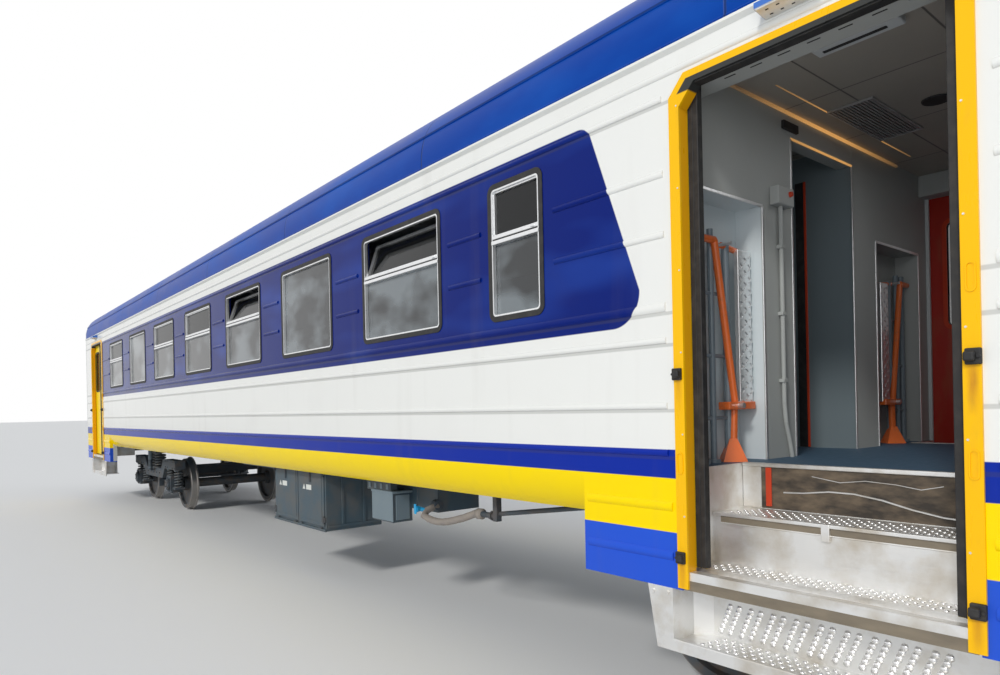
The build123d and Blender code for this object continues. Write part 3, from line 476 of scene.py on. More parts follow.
def block(bm, corner, far_corner, edge=0.0, segments=2):
    """A block between two opposite corners, with its edges rounded."""
    corner, far_corner = Vector(corner), Vector(far_corner)
    made = bmesh.ops.create_cube(bm, size=1.0)["verts"]
    bmesh.ops.scale(bm, vec=[abs(v) for v in far_corner - corner], verts=made)
    bmesh.ops.translate(bm, vec=(corner + far_corner) / 2, verts=made)
    if edge:
        edges = list({e for v in made for e in v.link_edges})
        bmesh.ops.bevel(bm, geom=edges, offset=edge, segments=segments, profile=0.5, affect="EDGES",
                        material=-1)


def rounded_ring(bm, x, z, radius, width, y_in, y_out, segments=4):
    """A rounded frame of one width, flat against the side: x and z are its outer reaches."""
    corners = [bm.verts.new((px, y_in, pz))
               for px, pz in ((x[0], z[0]), (x[1], z[0]), (x[1], z[1]), (x[0], z[1]))]
    bm.faces.new(corners)
    rounded = bmesh.ops.bevel(bm, geom=corners, offset=radius, segments=segments, profile=0.5,
                              affect="VERTICES", material=-1)
    sheets = [f for f in rounded["faces"] if len(f.verts) > 4]
    sheet = (sheets or [f for v in rounded["verts"] for f in v.link_faces])[0]
    rim = bmesh.ops.inset_region(bm, faces=[sheet], thickness=width, use_even_offset=True,
                                 use_boundary=True)["faces"]
    bmesh.ops.delete(bm, geom=[sheet], context="FACES_ONLY")
    raised = bmesh.ops.extrude_face_region(bm, geom=rim)["geom"]
    raised = [v for v in raised if isinstance(v, bmesh.types.BMVert)]
    bmesh.ops.translate(bm, vec=(0, y_out - y_in, 0), verts=raised)


def put(bm, part, matrix):
    """Adds a finished part, moved or turned."""
    bmesh.ops.transform(part, matrix=matrix, verts=part.verts)
    carrier = bpy.data.meshes.new("carrier")
    part.to_mesh(carrier)
    part.free()
    bm.from_mesh(carrier)
    bpy.data.meshes.remove(carrier)


def about(place, angle, axis):
    """A turn about a line through a place."""
    return Matrix.Translation(place) @ Matrix.Rotation(angle, 4, axis) @ Matrix.Translation(-Vector(place))


PITCH, FIRST_X, WIDE, NARROW, NARROW_X = 1.775, 2.700 - MIDDLE, 1.185, 0.535, 15.093 - MIDDLE
WINDOW_LOW, WINDOW_HIGH, TRANSOM_Z = 2.350, 3.260, 2.890
SINGLE_PANES, TILTED, TILT = (1, 5), (4, 6), radians(-19)
SASH_IN, PANE_IN, GLASS_BACK, GLASS_FRONT = 0.034, 0.031, -1.708, -1.714
windows = [(FIRST_X + PITCH * k, WIDE) for k in range(7)]
windows += [(NARROW_X, NARROW), (2 * DOOR_X - NARROW_X - NARROW, NARROW)]
sash_metal = clouded("sash_aluminium", (40.0, 3.0), (0.82, 0.83, 0.84), (0.5, 0.5, 0.5), (0.2, 0.22),
                     (0.5, 1.0), metallic=0.85)
sashes, panes, upper_panes = bmesh.new(), bmesh.new(), bmesh.new()
for number, (x0, width) in enumerate(windows):
    x = (x0 + SASH_IN, x0 + width - SASH_IN)
    z = (WINDOW_LOW + SASH_IN, WINDOW_HIGH - SASH_IN)
    rounded_ring(sashes, x, z, 0.035, 0.013, -1.716, -1.744)
    low_pane = (x0 + PANE_IN, GLASS_FRONT, WINDOW_LOW + PANE_IN)
    high_pane = (x0 + width - PANE_IN, GLASS_BACK, WINDOW_HIGH - PANE_IN)
    if number in SINGLE_PANES:
        block(panes, low_pane, high_pane)
        continue
    block(panes, low_pane, (high_pane[0], GLASS_BACK, TRANSOM_Z))
    upper, upper_frame = bmesh.new(), bmesh.new()
    block(upper, (low_pane[0], GLASS_FRONT, TRANSOM_Z + 0.004), high_pane)
    rounded_ring(upper_frame, (x[0] + 0.014, x[1] - 0.014), (TRANSOM_Z + 0.026, z[1] - 0.014), 0.02, 0.011,
                 -1.700, -1.732)
    hinge = about((0, -1.711, TRANSOM_Z + 0.01), TILT if number in TILTED else 0.0, "X")
    put(upper_panes, upper, hinge)
    put(sashes, upper_frame, hinge)
    for low, high, out in ((-0.030, -0.004, 1.750), (0.006, 0.030, 1.746)):
        block(sashes, (x[0] + 0.004, -out, TRANSOM_Z + low), (x[1] - 0.004, -1.712, TRANSOM_Z + high), 0.003)
    block(sashes, (x[1] - 0.07, -1.757, TRANSOM_Z + 0.010), (x[1] - 0.04, -1.745, TRANSOM_Z + 0.024), 0.003)
set_down("window_sashes", sashes, sash_metal, mirrored=True)
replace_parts(set_down("window_panes", panes, glass_pane, mirrored=True), "window_glass")
set_down("upper_panes", upper_panes, shaded_pane, mirrored=True)


# Black rubber edges meet where a door's leaves close, and black gaskets hold their panes. The gaskets inside
# the coach are red. Everything rides on its own leaf.
def bar(bm, start, end, radius, sides=12, tip=None):
    """A round bar between two points, or a cone where its tip has another radius."""
    start, end = Vector(start), Vector(end)
    made = bmesh.ops.create_cone(bm, cap_ends=True, segments=sides, radius1=radius,
                                 radius2=radius if tip is None else tip, depth=(end - start).length)["verts"]
    turned = (end - start).to_track_quat("Z", "Y").to_matrix()
    bmesh.ops.rotate(bm, cent=(0, 0, 0), matrix=turned, verts=made)
    bmesh.ops.translate(bm, vec=(start + end) / 2, verts=made)


LEAF_LOW, LEAF_HIGH, LEAF_PANE_Z = 0.958, 3.430, (2.332, 3.218)
red_enamel = clouded("red_enamel", (20.0, 3.0), (0.62, 0.06, 0.02), (0.50, 0.05, 0.02), shine=0.3)
for door, (centre, half) in zip(("rear", "middle"), DOORWAYS):
    width = half - 0.015
    for hand, out in (("right", -1), ("left", 1)):
        opened = half - 0.118 if (door, hand) == ("middle", "right") else 0.0
        for way, leaf_name in ((-1, "aft"), (1, "fore")):
            lead = centre + way * (0.0025 + opened)
            mid_x = lead + way * width / 2
            pane_x = (mid_x - width / 2 + 0.092, mid_x + width / 2 - 0.092)
            body = f"door_{door}_{hand}_{leaf_name}"
            edge = bmesh.new()
            block(edge, (lead + way * 0.058, out * 1.675, LEAF_LOW),
                  (lead - way * 0.0015, out * 1.6335, LEAF_HIGH), 0.004)
            lip_x = lead + way * 0.030
            bar(edge, (lip_x, out * 1.6752, LEAF_LOW), (lip_x, out * 1.6752, LEAF_HIGH), 0.003, 8)
            rounded_ring(edge, pane_x, LEAF_PANE_Z, 0.07, 0.032, out * 1.671, out * 1.6765)
            set_down(f"{body}_rubber", edge, rubber_seal, body)
            rim = bmesh.new()
            rounded_ring(rim, pane_x, LEAF_PANE_Z, 0.07, 0.032, out * 1.637, out * 1.6315)
            set_down(f"{body}_rim", rim, red_enamel, body)

# Small bright metal screws hold the surrounds. Two black rubber buffers stop the leaves on each jamb, each held
# by a screw.
bolts, buffers = bmesh.new(), bmesh.new()
for centre, half in DOORWAYS:
    for way in (-1, 1):
        bolt_x = centre + way * (half - 0.047)
        for k in range(6):
            height = 1.22 + k * 0.41
            bar(bolts, (bolt_x, -1.751, height), (bolt_x, -1.7555, height), 0.006, 8, 0.004)
        inner_x = centre + way * (half - 0.050)
        for height in BUFFER_HEIGHTS:
            block(buffers, (inner_x, -1.768, height - 0.030),
                  (centre + way * (half + 0.004), -1.748, height + 0.030), 0.006, 3)
            block(buffers, (inner_x, -1.790, height - 0.018),
                  (centre + way * (half - 0.012), -1.764, height + 0.018), 0.008, 3)
            screw_x = centre + way * (half - 0.004)
            bar(buffers, (screw_x, -1.767, height), (screw_x, -1.775, height), 0.007, 6)
set_down("surround_screws", bolts, sash_metal, mirrored=True)
set_down("stop_buffers", buffers, rubber_seal, mirrored=True)


# Below each yellow header the door's track runs in a pale folded cover box, behind a dark rubber strip. A row
# of narrow slots opens in the cover's underside.
def span(bm, centre, reach, y, z, edge=0.0, segments=2):
    """A block that reaches as far to either side of its centre, from one y and z to another."""
    block(bm, (centre - reach, y[0], z[0]), (centre + reach, y[1], z[1]), edge, segments)


tracks, covers = bmesh.new(), bmesh.new()
for centre, half in DOORWAYS:
    span(tracks, centre, half - 0.115, (-1.741, -1.684), (3.352, 3.3595), 0.001)
    span(covers, centre, half + 0.02, (-1.628, -1.480), (3.392, 3.558), 0.004)
    for k in range(7):
        span(tracks, centre - 0.42 + k * 0.14, 0.03, (-1.585, -1.577), (3.3905, 3.3925))
set_down("header_strips", tracks, rubber_seal, mirrored=True)
set_down("track_covers", covers, locker_laminate, mirrored=True)

# Each lamp housing over a door has a pale perforated plate under its pressed blue box. The plate slopes with
# the housing and has two rows of holes.
LAMP_MID, LAMP_UNDER, LAMP_SLOPE = -1.7875, 3.498, 0.126
lamp_plates, lamp_holes = bmesh.new(), bmesh.new()
for centre, half in DOORWAYS:
    plate = bmesh.new()
    span(plate, centre, 0.134, (-1.833, -1.742), (LAMP_UNDER - 0.006, LAMP_UNDER), 0.002)
    put(lamp_plates, plate, about((0, LAMP_MID, LAMP_UNDER), -LAMP_SLOPE, "X"))
    for k in range(5):
        hole_x = centre - 0.10 + k * 0.05
        for dy in (-0.020, 0.020):
            y, z = LAMP_MID + dy, LAMP_UNDER - 0.0045 - dy * LAMP_SLOPE
            bar(lamp_holes, (hole_x, y, z), (hole_x + 0.014, y, z), 0.004, 8)
    span(lamp_plates, centre, 0.137, (-1.8345, -1.829), (3.502, 3.512), 0.002)
set_down("lamp_plates", lamp_plates, step_metal, mirrored=True)
set_down("lamp_holes", lamp_holes, rubber_seal, mirrored=True)

# The jambs have upright oval finger slots with a raised rim, two on the front jamb and one on the other. They
# are painted with the surround.
pulls = bmesh.new()
for centre, half in DOORWAYS:
    for side_way, low in ((1, 2.165), (1, 1.485), (-1, 1.430)):
        x = centre + side_way * (half - 0.028)
        rounded_ring(pulls, (x - 0.018, x + 0.018), (low, low + 0.110), 0.0175, 0.006, -1.750, -1.757, 6)
set_down("jamb_pulls", pulls, surround_paint, mirrored=True)

# A pressed bead runs along each shoulder of the roof, and a thin drip strip closes the gutter's upper edge.
# Both are painted with the roof.
BODY_END = 10.34
beads = bmesh.new()
for y, z, radius, sides in ((-1.7035, GROOVE_Z, 0.011, 10), (-1.740, 3.60, 0.008, 8)):
    bar(beads, (-BODY_END, y, z), (BODY_END, y, z), radius, sides)
set_down("roof_beads", beads, roof_paint, mirrored=True)

# Step treads and the outer step's back plate are pressed with rows of raised grip studs. Thin polished plates
# and noses edge each step, and the risers behind the middle one are left open: dark sheets of painted shade
# fill them, with brown dirt in clouds.
STEP_BACK, TREAD_Z, SILL_Z, MIDDLE_Z, FLOOR_Z = 1.490, 0.575, 0.950, 1.209, 1.450
stud_bm = bmesh.new()
bmesh.ops.create_uvsphere(stud_bm, u_segments=8, v_segments=5, radius=1.0)
stud_mesh = bpy.data.meshes.new("stud")
stud_bm.to_mesh(stud_mesh)
stud_bm.free()


def stud(bm, place, radius, height, way="Z"):
    """A round pressed stud that stands out of a plate, towards the side or upwards."""
    size = (radius, height, radius) if way == "Y" else (radius, radius, height)
    stamp = Matrix.Translation(place) @ Matrix.Diagonal((*size, 1.0))
    stud_mesh.transform(stamp)
    bm.from_mesh(stud_mesh)
    stud_mesh.transform(stamp.inverted())


PAIR_PITCH, COLUMN_PITCH = 0.118, 0.047
TREAD_STUDS = ((5, -1.715, 0.043, 0.014, TREAD_Z, 0.014, 0.008),
               (4, -1.595, 0.036, 0.016, SILL_Z, 0.012, 0.006),
               (6, -1.435, 0.040, 0.016, MIDDLE_Z, 0.012, 0.006))
studs, plates, dark_plates, nosing_strips = bmesh.new(), bmesh.new(), bmesh.new(), bmesh.new()
for centre, half in DOORWAYS:
    for k in range(int((2 * half - 0.20) / PAIR_PITCH)):
        for offset in (0.0, 0.052):
            x = centre - half + 0.075 + k * PAIR_PITCH + offset
            for j in range(6):
                place = (x + j * 0.0115, -STEP_BACK - 0.003, TREAD_Z + 0.030 + j * 0.0262)
                stud(studs, place, 0.0205, 0.014, "Y")
    reach = half - 0.05
    for k in range(int(2 * reach / COLUMN_PITCH)):
        x = centre - reach + 0.02 + k * COLUMN_PITCH
        for count, first_y, dy, dx, z, radius, height in TREAD_STUDS:
            for j in range(count):
                stud(studs, (x + j * dx, first_y + j * dy, z), radius, height)
    back_x, nose_x, inside = half - 0.034, half - 0.022, half - 0.064
    span(plates, centre, back_x, (-STEP_BACK - 0.004, -STEP_BACK), (TREAD_Z, TREAD_Z + 0.185), 0.002)
    span(plates, centre, half + 0.14, (-1.7395, -1.722), (TREAD_Z - 0.048, TREAD_Z + 0.012), 0.005, 3)
    low_z = MIDDLE_Z - 0.050
    bar(plates, (centre - inside, -1.462, low_z), (centre + inside, -1.462, low_z), 0.004, 8)
    span(plates, centre, nose_x, (-1.472, -1.444), (MIDDLE_Z - 0.014, MIDDLE_Z + 0.003), 0.003)
    span(plates, centre - 0.046, 0.020, (-1.478, -1.462), (MIDDLE_Z - 0.078, MIDDLE_Z + 0.004), 0.003)
    span(plates, centre, nose_x, (-1.184, -1.150), (FLOOR_Z - 0.016, FLOOR_Z + 0.005), 0.004)
    block(plates, (centre - nose_x, -1.1755, MIDDLE_Z + 0.004), (centre - 0.535, -1.168, FLOOR_Z - 0.016),
          0.001)
    span(dark_plates, centre, back_x, (-STEP_BACK - 0.003, -STEP_BACK),
         (TREAD_Z + 0.186, SILL_Z - 0.022), 0.001)
    block(dark_plates, (centre - 0.533, -1.174, MIDDLE_Z + 0.004),
          (centre + half - 0.024, -1.168, FLOOR_Z - 0.014))
    span(nosing_strips, centre, inside, (-1.4625, -1.4598), (MIDDLE_Z - 0.048, MIDDLE_Z - 0.014))
    span(nosing_strips, centre, half - 0.03, (-1.7385, -1.732), (SILL_Z - 0.100, SILL_Z - 0.030))
    for way in (-1, 1):
        for dx, z in ((0.075, 0.815), (0.165, 0.811)):
            bolt_x = centre + way * (half + dx)
            bar(plates, (bolt_x, -1.739, z), (bolt_x, -1.748, z), 0.013, 6)
stud_metal = clouded("polished_studs", (40.0, 3.0), (0.90, 0.90, 0.90), (0.45, 0.42, 0.38), (0.2, 0.16),
                     (0.5, 1.0), metallic=0.9)
# The risers' dark sheets are painted shade in the open risers, clouded with brown dirt.
riser_shade_and_grime = clouded("riser_shade_and_grime", (14.0, 6.0, (0.6, 1, 1.5)), (0.035, 0.028, 0.022), (0.20, 0.15, 0.10),
                      (0.0, 0.7), (0.35, 2.2), 0.006)
# Dark grey-brown strips lie under the middle step's nose and below the sill.
grey_brown_strips = clouded("grey_brown_strips", (9.0, 5.0, (0.6, 1, 2)), (0.10, 0.085, 0.065), (0.30, 0.25, 0.18),
                     (0.0, 0.6))
set_down("grip_studs", studs, stud_metal, smooth=True, mirrored=True)
set_down("step_plates", plates, step_metal, mirrored=True)
set_down("open_risers", dark_plates, riser_shade_and_grime, mirrored=True)
set_down("nosing_strips", nosing_strips, grey_brown_strips, mirrored=True)
marker = bmesh.new()
block(marker, (DOOR_X - 0.505, -1.184, 1.225), (DOOR_X - 0.472, -1.176, 1.432), 0.003)
set_down("riser_marker", marker, red_enamel)


# Behind the open middle step a bent edge of thin sheet catches the light in two wavy lines. They are made of
# short bars from point to point.
def chain(bm, points, radius, sides=12):
    """Round bars from each point to the next."""
    for start, end in zip(points, points[1:]):
        bar(bm, start, end, radius, sides)


LONG_EDGE = [(6.433, 1.304), (6.54, 1.309), (6.671, 1.326), (6.795, 1.325), (6.924, 1.306), (7.058, 1.273),
             (7.183, 1.251), (7.44, 1.235)]
SHORT_EDGE = [(6.587, 1.398), (6.728, 1.376), (6.849, 1.392), (6.988, 1.384), (7.095, 1.368), (7.186, 1.390)]
edges = bmesh.new()
for wave, thick in ((LONG_EDGE, 0.0045), (SHORT_EDGE, 0.0020)):
    chain(edges, [(x, -1.176, z) for x, z in wave], thick, 6)
set_down("bent_sheet_edges", edges, step_metal)

# Folded wheelchair lifts stand in both recesses. Each has blue grey posts, orange arms on pins, a chequered
# ramp plate and a foot bolted to the floor.
LIFT_X, ARM_PATH = 16.470 - MIDDLE, [(-1.393, 2.690), (-1.262, 2.692), (-1.086, 1.783)]
post_enamel = clouded("lift_post_enamel", (25.0, 3.0), (0.16, 0.21, 0.25), (0.22, 0.26, 0.29), (0.0, 0.35))
lift_orange = clouded("lift_enamel", (25.0, 4.0), (0.80, 0.16, 0.03), (0.25, 0.12, 0.06), (0.2, 0.25),
                      (0.55, 2.0), coat=0.3)
posts, arms, ramps = bmesh.new(), bmesh.new(), bmesh.new()
for y, high, radius in ((-1.361, 2.76, 0.020), (-1.257, 2.76, 0.018), (-1.109, 2.70, 0.022)):
    bar(posts, (LIFT_X, y, FLOOR_Z), (LIFT_X, y, high), radius, 14)
    bar(posts, (LIFT_X, y, FLOOR_Z), (LIFT_X, y, FLOOR_Z + 0.02), radius + 0.02, 14)
for high in (1.70, 2.05, 2.40):
    bar(posts, (LIFT_X, -1.40, high), (LIFT_X, -1.09, high), 0.011, 10)
chain(arms, [(LIFT_X + 0.03, y, z) for y, z in ARM_PATH], 0.021, 14)
bar(arms, (LIFT_X, -1.154, 2.684), (LIFT_X, -0.907, 2.657), 0.017, 12)
block(arms, (LIFT_X - 0.02, -1.177, 1.745), (LIFT_X + 0.055, -0.905, 1.790), 0.006)
bar(arms, (LIFT_X + 0.02, -1.100, FLOOR_Z + 0.03), (LIFT_X + 0.02, -1.086, 1.76), 0.024, 14)
bar(arms, (LIFT_X + 0.02, -1.100, FLOOR_Z), (LIFT_X + 0.02, -1.100, FLOOR_Z + 0.13), 0.095, 4, 0.03)
block(ramps, (LIFT_X + 0.004, -1.030, 1.77), (LIFT_X + 0.034, -0.900, 2.67), 0.004)
for k in range(24):
    z = 1.80 + k * 0.036
    for j in range(3):
        y = -1.015 + j * 0.045
        rise = 0.016 if (j + k) % 2 else -0.016
        bar(ramps, (LIFT_X + 0.035, y, z), (LIFT_X + 0.035, y + 0.022, z + rise), 0.004, 5)
bar(ramps, (LIFT_X - 0.03, -1.086, 1.768), (LIFT_X + 0.09, -1.086, 1.768), 0.016, 12)
bar(ramps, (LIFT_X - 0.03, -1.154, 2.684), (LIFT_X + 0.07, -1.154, 2.684), 0.010, 10)
set_down("lift_posts", posts, post_enamel, mirrored=True)
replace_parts(set_down("lift_arms", arms, lift_orange, mirrored=True), "wheelchair_lifts")
set_down("lift_ramps", ramps, sash_metal, mirrored=True)

# The lockers' corners carry bright strips. On the laminate sit a switch box with its conduit and red button,
# and a header over the passage.
FACE_X, LOCKER_TOP, HEADER_Z = 16.570 - MIDDLE, 2.93, 3.40
CONDUIT = [(-0.70, 2.95), (-0.70, 1.78), (-0.685, 1.66), (-0.64, 1.53), (-0.62, 1.452)]
trims, fittings, button = bmesh.new(), bmesh.new(), bmesh.new()
for y, high in ((-0.87, LOCKER_TOP), (-0.53, HEADER_Z), (PASSAGE_Y, HEADER_Z), (0.66, LOCKER_TOP),
                (1.44, LOCKER_TOP)):
    span(trims, FACE_X, 0.004, (y - 0.009, y + 0.009), (FLOOR_Z, high), 0.002)
for y0, y1 in ((-1.60, -0.87), (0.66, 1.44)):
    span(trims, FACE_X, 0.004, (y0, y1), (LOCKER_TOP - 0.009, LOCKER_TOP + 0.009), 0.002)
block(fittings, (FACE_X, -0.79, 2.95), (FACE_X + 0.06, -0.61, 3.06), 0.008, 3)
block(fittings, (FACE_X - 0.10, -0.53, HEADER_Z), (FACE_X, PASSAGE_Y, 3.56), 0.004)
chain(fittings, [(FACE_X + 0.02, y, z) for y, z in CONDUIT], 0.013)
for z in (1.9, 2.3, 2.7):
    block(fittings, (FACE_X, -0.722, z), (FACE_X + 0.034, -0.678, z + 0.022), 0.003)
bar(button, (FACE_X + 0.059, -0.66, 3.02), (FACE_X + 0.075, -0.66, 3.02), 0.018, 14, 0.014)
set_down("locker_trims", trims, sash_metal)
set_down("vestibule_fittings", fittings, locker_laminate)
set_down("switch_button", button, red_enamel)

# The vestibule's ceiling carries thin strips that glow amber, painted light along its edges, an air grille of
# flat lamellas in a frame over a dark sheet of painted shade, a round loudspeaker and a lamp box. A dark
# indicator sits over the passage, whose open door shows black and red: the black is a dark strip of painted
# shade in its gap.
strip, dark, red_post, grille, lamp_box = (bmesh.new() for part in range(5))
block(strip, (FACE_X, -1.20, 3.540), (FACE_X + 0.014, 1.05, 3.558), 0.004)
block(strip, (6.314, -0.959, 3.5565), (6.321, 0.923, 3.5595), 0.001)
span(strip, FACE_X, 0.006, (-0.53, PASSAGE_Y), (HEADER_Z - 0.004, HEADER_Z + 0.008), 0.003)
block(dark, (FACE_X, -0.637, 3.44), (FACE_X + 0.02, -0.459, 3.49), 0.004)
bar(dark, (6.80, 0.00, 3.552), (6.80, 0.00, 3.561), 0.075, 24, 0.08)
# This dark sheet behind the grille is painted shade between its lamellas.
block(dark, (6.333, -0.355, 3.557), (6.580, 0.385, 3.5598), 0.001)
# This black strip in the passage door's gap is painted shade.
block(dark, (5.765, 0.294, FLOOR_Z + 0.004), (5.825, 0.2995, 3.38), 0.001)
block(dark, (6.69, -1.186, 3.520), (6.99, -1.164, 3.527), 0.002)
block(red_post, (5.827, 0.292, FLOOR_Z + 0.004), (5.844, 0.2995, 3.38), 0.002)
for k in range(12):
    x = 6.336 + k * 0.0205
    block(grille, (x, -0.350, 3.549), (x + 0.012, 0.380, 3.5585), 0.001)
for x0, x1, y0, y1 in ((6.322, 6.334, -0.367, 0.397), (6.579, 6.591, -0.367, 0.397),
                       (6.334, 6.579, -0.367, -0.355), (6.334, 6.579, 0.385, 0.397)):
    block(grille, (x0, y0, 3.546), (x1, y1, 3.5595), 0.002)
block(lamp_box, (6.647, -1.225, 3.524), (7.056, -1.125, 3.5595), 0.008, 3)
# The strips glow amber though they are no lamps: painted light on the ceiling's edges.
amber = Finish("painted_amber_glow")
lit = abs(amber.y + 0.02).above(0.62, 0.9)
painted_amber_glow = amber.close((0.45, 0.28, 0.14), amber.noise(2.0, 1.0, (0, 1, 0)) * 0.1 + 0.3,
                          glow=amber.mix(lit, (1.0, 0.50, 0.14), (0.10, 0.06, 0.03)), glow_strength=0.55)
set_down("lit_edge", strip, painted_amber_glow)
set_down("dark_fittings_and_shade", dark, rubber_seal)
set_down("red_door_post", red_post, red_enamel)
set_down("air_grille", grille, rack_metal)
set_down("vestibule_lamp_box", lamp_box, laminate)

# Seats are three-place benches: a steel and laminate shell on a plinth, with a grab handle at the aisle, and
# separate padded seat and back cushions in blue cloth, sewn into three places.
BENCH_IN, BENCH_OUT, PLACES, SHELL_EDGE = 0.357, 1.668, 3, 0.005
BENCH_MID, BENCH_WIDE = (BENCH_IN + BENCH_OUT) / 2, BENCH_OUT - BENCH_IN
FIRST_PIER, HALF_TURN = 2.405 - MIDDLE, Matrix.Rotation(radians(180), 4, "Z")
BACK_LEAN = Matrix.Rotation(radians(86), 4, "Y")
SEAT_PAN = (0.020, 0.445, 0.300, 0.347, BENCH_IN, BENCH_OUT)
BACK_BOARD = (0.012, 0.030, 0.40, 1.06, BENCH_IN, BENCH_OUT)
PLINTH = (0.120, 0.330, 0.0, 0.302, 0.495, 1.522)
SEAT_CHEEK, BACK_CHEEK = (0.014, 0.440, 0.30, 0.43, 0.346, 0.358), (0.014, 0.075, 0.43, 1.05, 0.346, 0.358)
GRIP = ((0.05, 0.352, 0.98), (0.05, 0.352, 1.055), (0.035, 0.39, 1.075), (0.03, 0.46, 1.07))


def cushion(depth, width, height, crown):
    """A crowned pad whose sides pull in between its corners, with a sewn channel between two places."""
    bm = bmesh.new()
    bmesh.ops.create_cube(bm, size=1.0)
    for axis, cuts in ((1, 29), (0, 8), (2, 4)):
        edges_along = [e for e in bm.edges if abs(e.verts[0].co[axis] - e.verts[1].co[axis]) > 0.5]
        bmesh.ops.subdivide_edges(bm, edges=edges_along, cuts=cuts, use_grid_fill=True)
    for vert in bm.verts:
        a, b, c = (2 * v for v in vert.co)
        place = ((b + 1) * PLACES / 2) % 1.0 * 2 - 1
        swell = max(0.0, 1 - place ** 4) * max(0.0, 1 - a ** 4)
        channel = max(0.0, 1 - min(abs(b + 1 / 3), abs(b - 1 / 3)) / 0.035)
        x = a * depth / 2
        y = b * width / 2
        z = c * height / 2
        if abs(a) > 0.99:
            x -= 0.012 * a * (1 - c * c) + 0.005 * a * (1 - place ** 2)
        if abs(b) > 0.99:
            y -= 0.012 * b * (1 - c * c)
        if c > 0:
            z += (crown * swell - 0.012 * channel) * c
        vert.co = (x, y, z)
    for factor in (0.5, 0.3):
        bmesh.ops.smooth_vert(bm, verts=bm.verts, factor=factor, use_axis_x=True, use_axis_y=True,
                              use_axis_z=True)
    return bm


benches = []
for k in range(7):
    pier = FIRST_PIER + PITCH * k
    benches += [(max(pier, 2.584 - MIDDLE), 1), (pier + PITCH, -1)]
benches += [(FIRST_PIER + PITCH * 7, 1), (18.69 - MIDDLE, 1)]
seat_cloth = clouded("seat_cloth", (220.0, 2.0), (0.03, 0.07, 0.20), (0.06, 0.12, 0.30), (0.0, 0.85),
                     relief=0.0006)
shells, handles = bmesh.new(), bmesh.new()
for hand, out in (("right", -1), ("left", 1)):
    seat_pads, back_pads = bmesh.new(), bmesh.new()
    for bench_x, way in benches:
        facing = Matrix.Identity(4) if way > 0 else HALF_TURN
        seat_at = Matrix.Translation((bench_x + way * 0.283, out * BENCH_MID, FLOOR_Z + 0.385))
        back_at = Matrix.Translation((bench_x + way * 0.066, out * BENCH_MID, FLOOR_Z + 0.765))
        put(seat_pads, cushion(0.345, BENCH_WIDE - 0.01, 0.072, 0.022), seat_at @ facing)
        put(back_pads, cushion(0.60, BENCH_WIDE - 0.01, 0.055, 0.020), back_at @ facing @ BACK_LEAN)
        for x0, x1, z0, z1, y0, y1 in (SEAT_PAN, BACK_BOARD, PLINTH, SEAT_CHEEK, BACK_CHEEK):
            block(shells, (bench_x + way * x0, out * y0, FLOOR_Z + z0),
                  (bench_x + way * x1, out * y1, FLOOR_Z + z1), SHELL_EDGE)
        chain(handles, [(bench_x + way * x, out * y, FLOOR_Z + z) for x, y, z in GRIP], 0.011, 8)
    for part_name, pads in (("seat_cushions", seat_pads), ("back_cushions", back_pads)):
        pad = set_down(f"{part_name}_{hand}", pads, seat_cloth, smooth=True)
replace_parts(set_down("seat_shells", shells, laminate), "seats")
set_down("seat_grips", handles, lift_orange)

# Luggage racks hang on brackets over the windows and carry a row of round bars. They stop at the cross walls,
# so there is a long pair in the saloon and a short pair in front.
rack_bars = bmesh.new()
for x0, x1 in ((2.62 - MIDDLE, 15.88 - MIDDLE), (18.70 - MIDDLE, 20.70 - MIDDLE)):
    for y in (1.42, 1.47, 1.52, 1.57, 1.62):
        bar(rack_bars, (x0, -y, 3.312), (x1, -y, 3.312), 0.006, 8)
    hangers = int((x1 - x0) / 0.8875)
    for k in range(hangers + 1):
        x = x0 + 0.05 + k * (x1 - x0 - 0.10) / hangers
        block(rack_bars, (x - 0.012, -1.675, 3.262), (x + 0.012, -1.365, 3.290), 0.003)
set_down("rack_bars", rack_bars, rack_metal, mirrored=True)

# The two-door equipment cabinet below the floor has folded sheet doors on hinges, latch handles, blank sign
# plates and a bottom ledge. The battery box on the other side has three doors of the same make.
BOX_FACE, DOOR_HIGH = 1.500, 1.225
boxes, latches, signs = bmesh.new(), bmesh.new(), bmesh.new()


def on_box(bm, out, x, z, proud, edge=0.004):
    """A plate that stands proud of a box's outer face."""
    block(bm, (x[0], out * (BOX_FACE - 0.001), z[0]), (x[1], out * (BOX_FACE + proud), z[1]), edge)


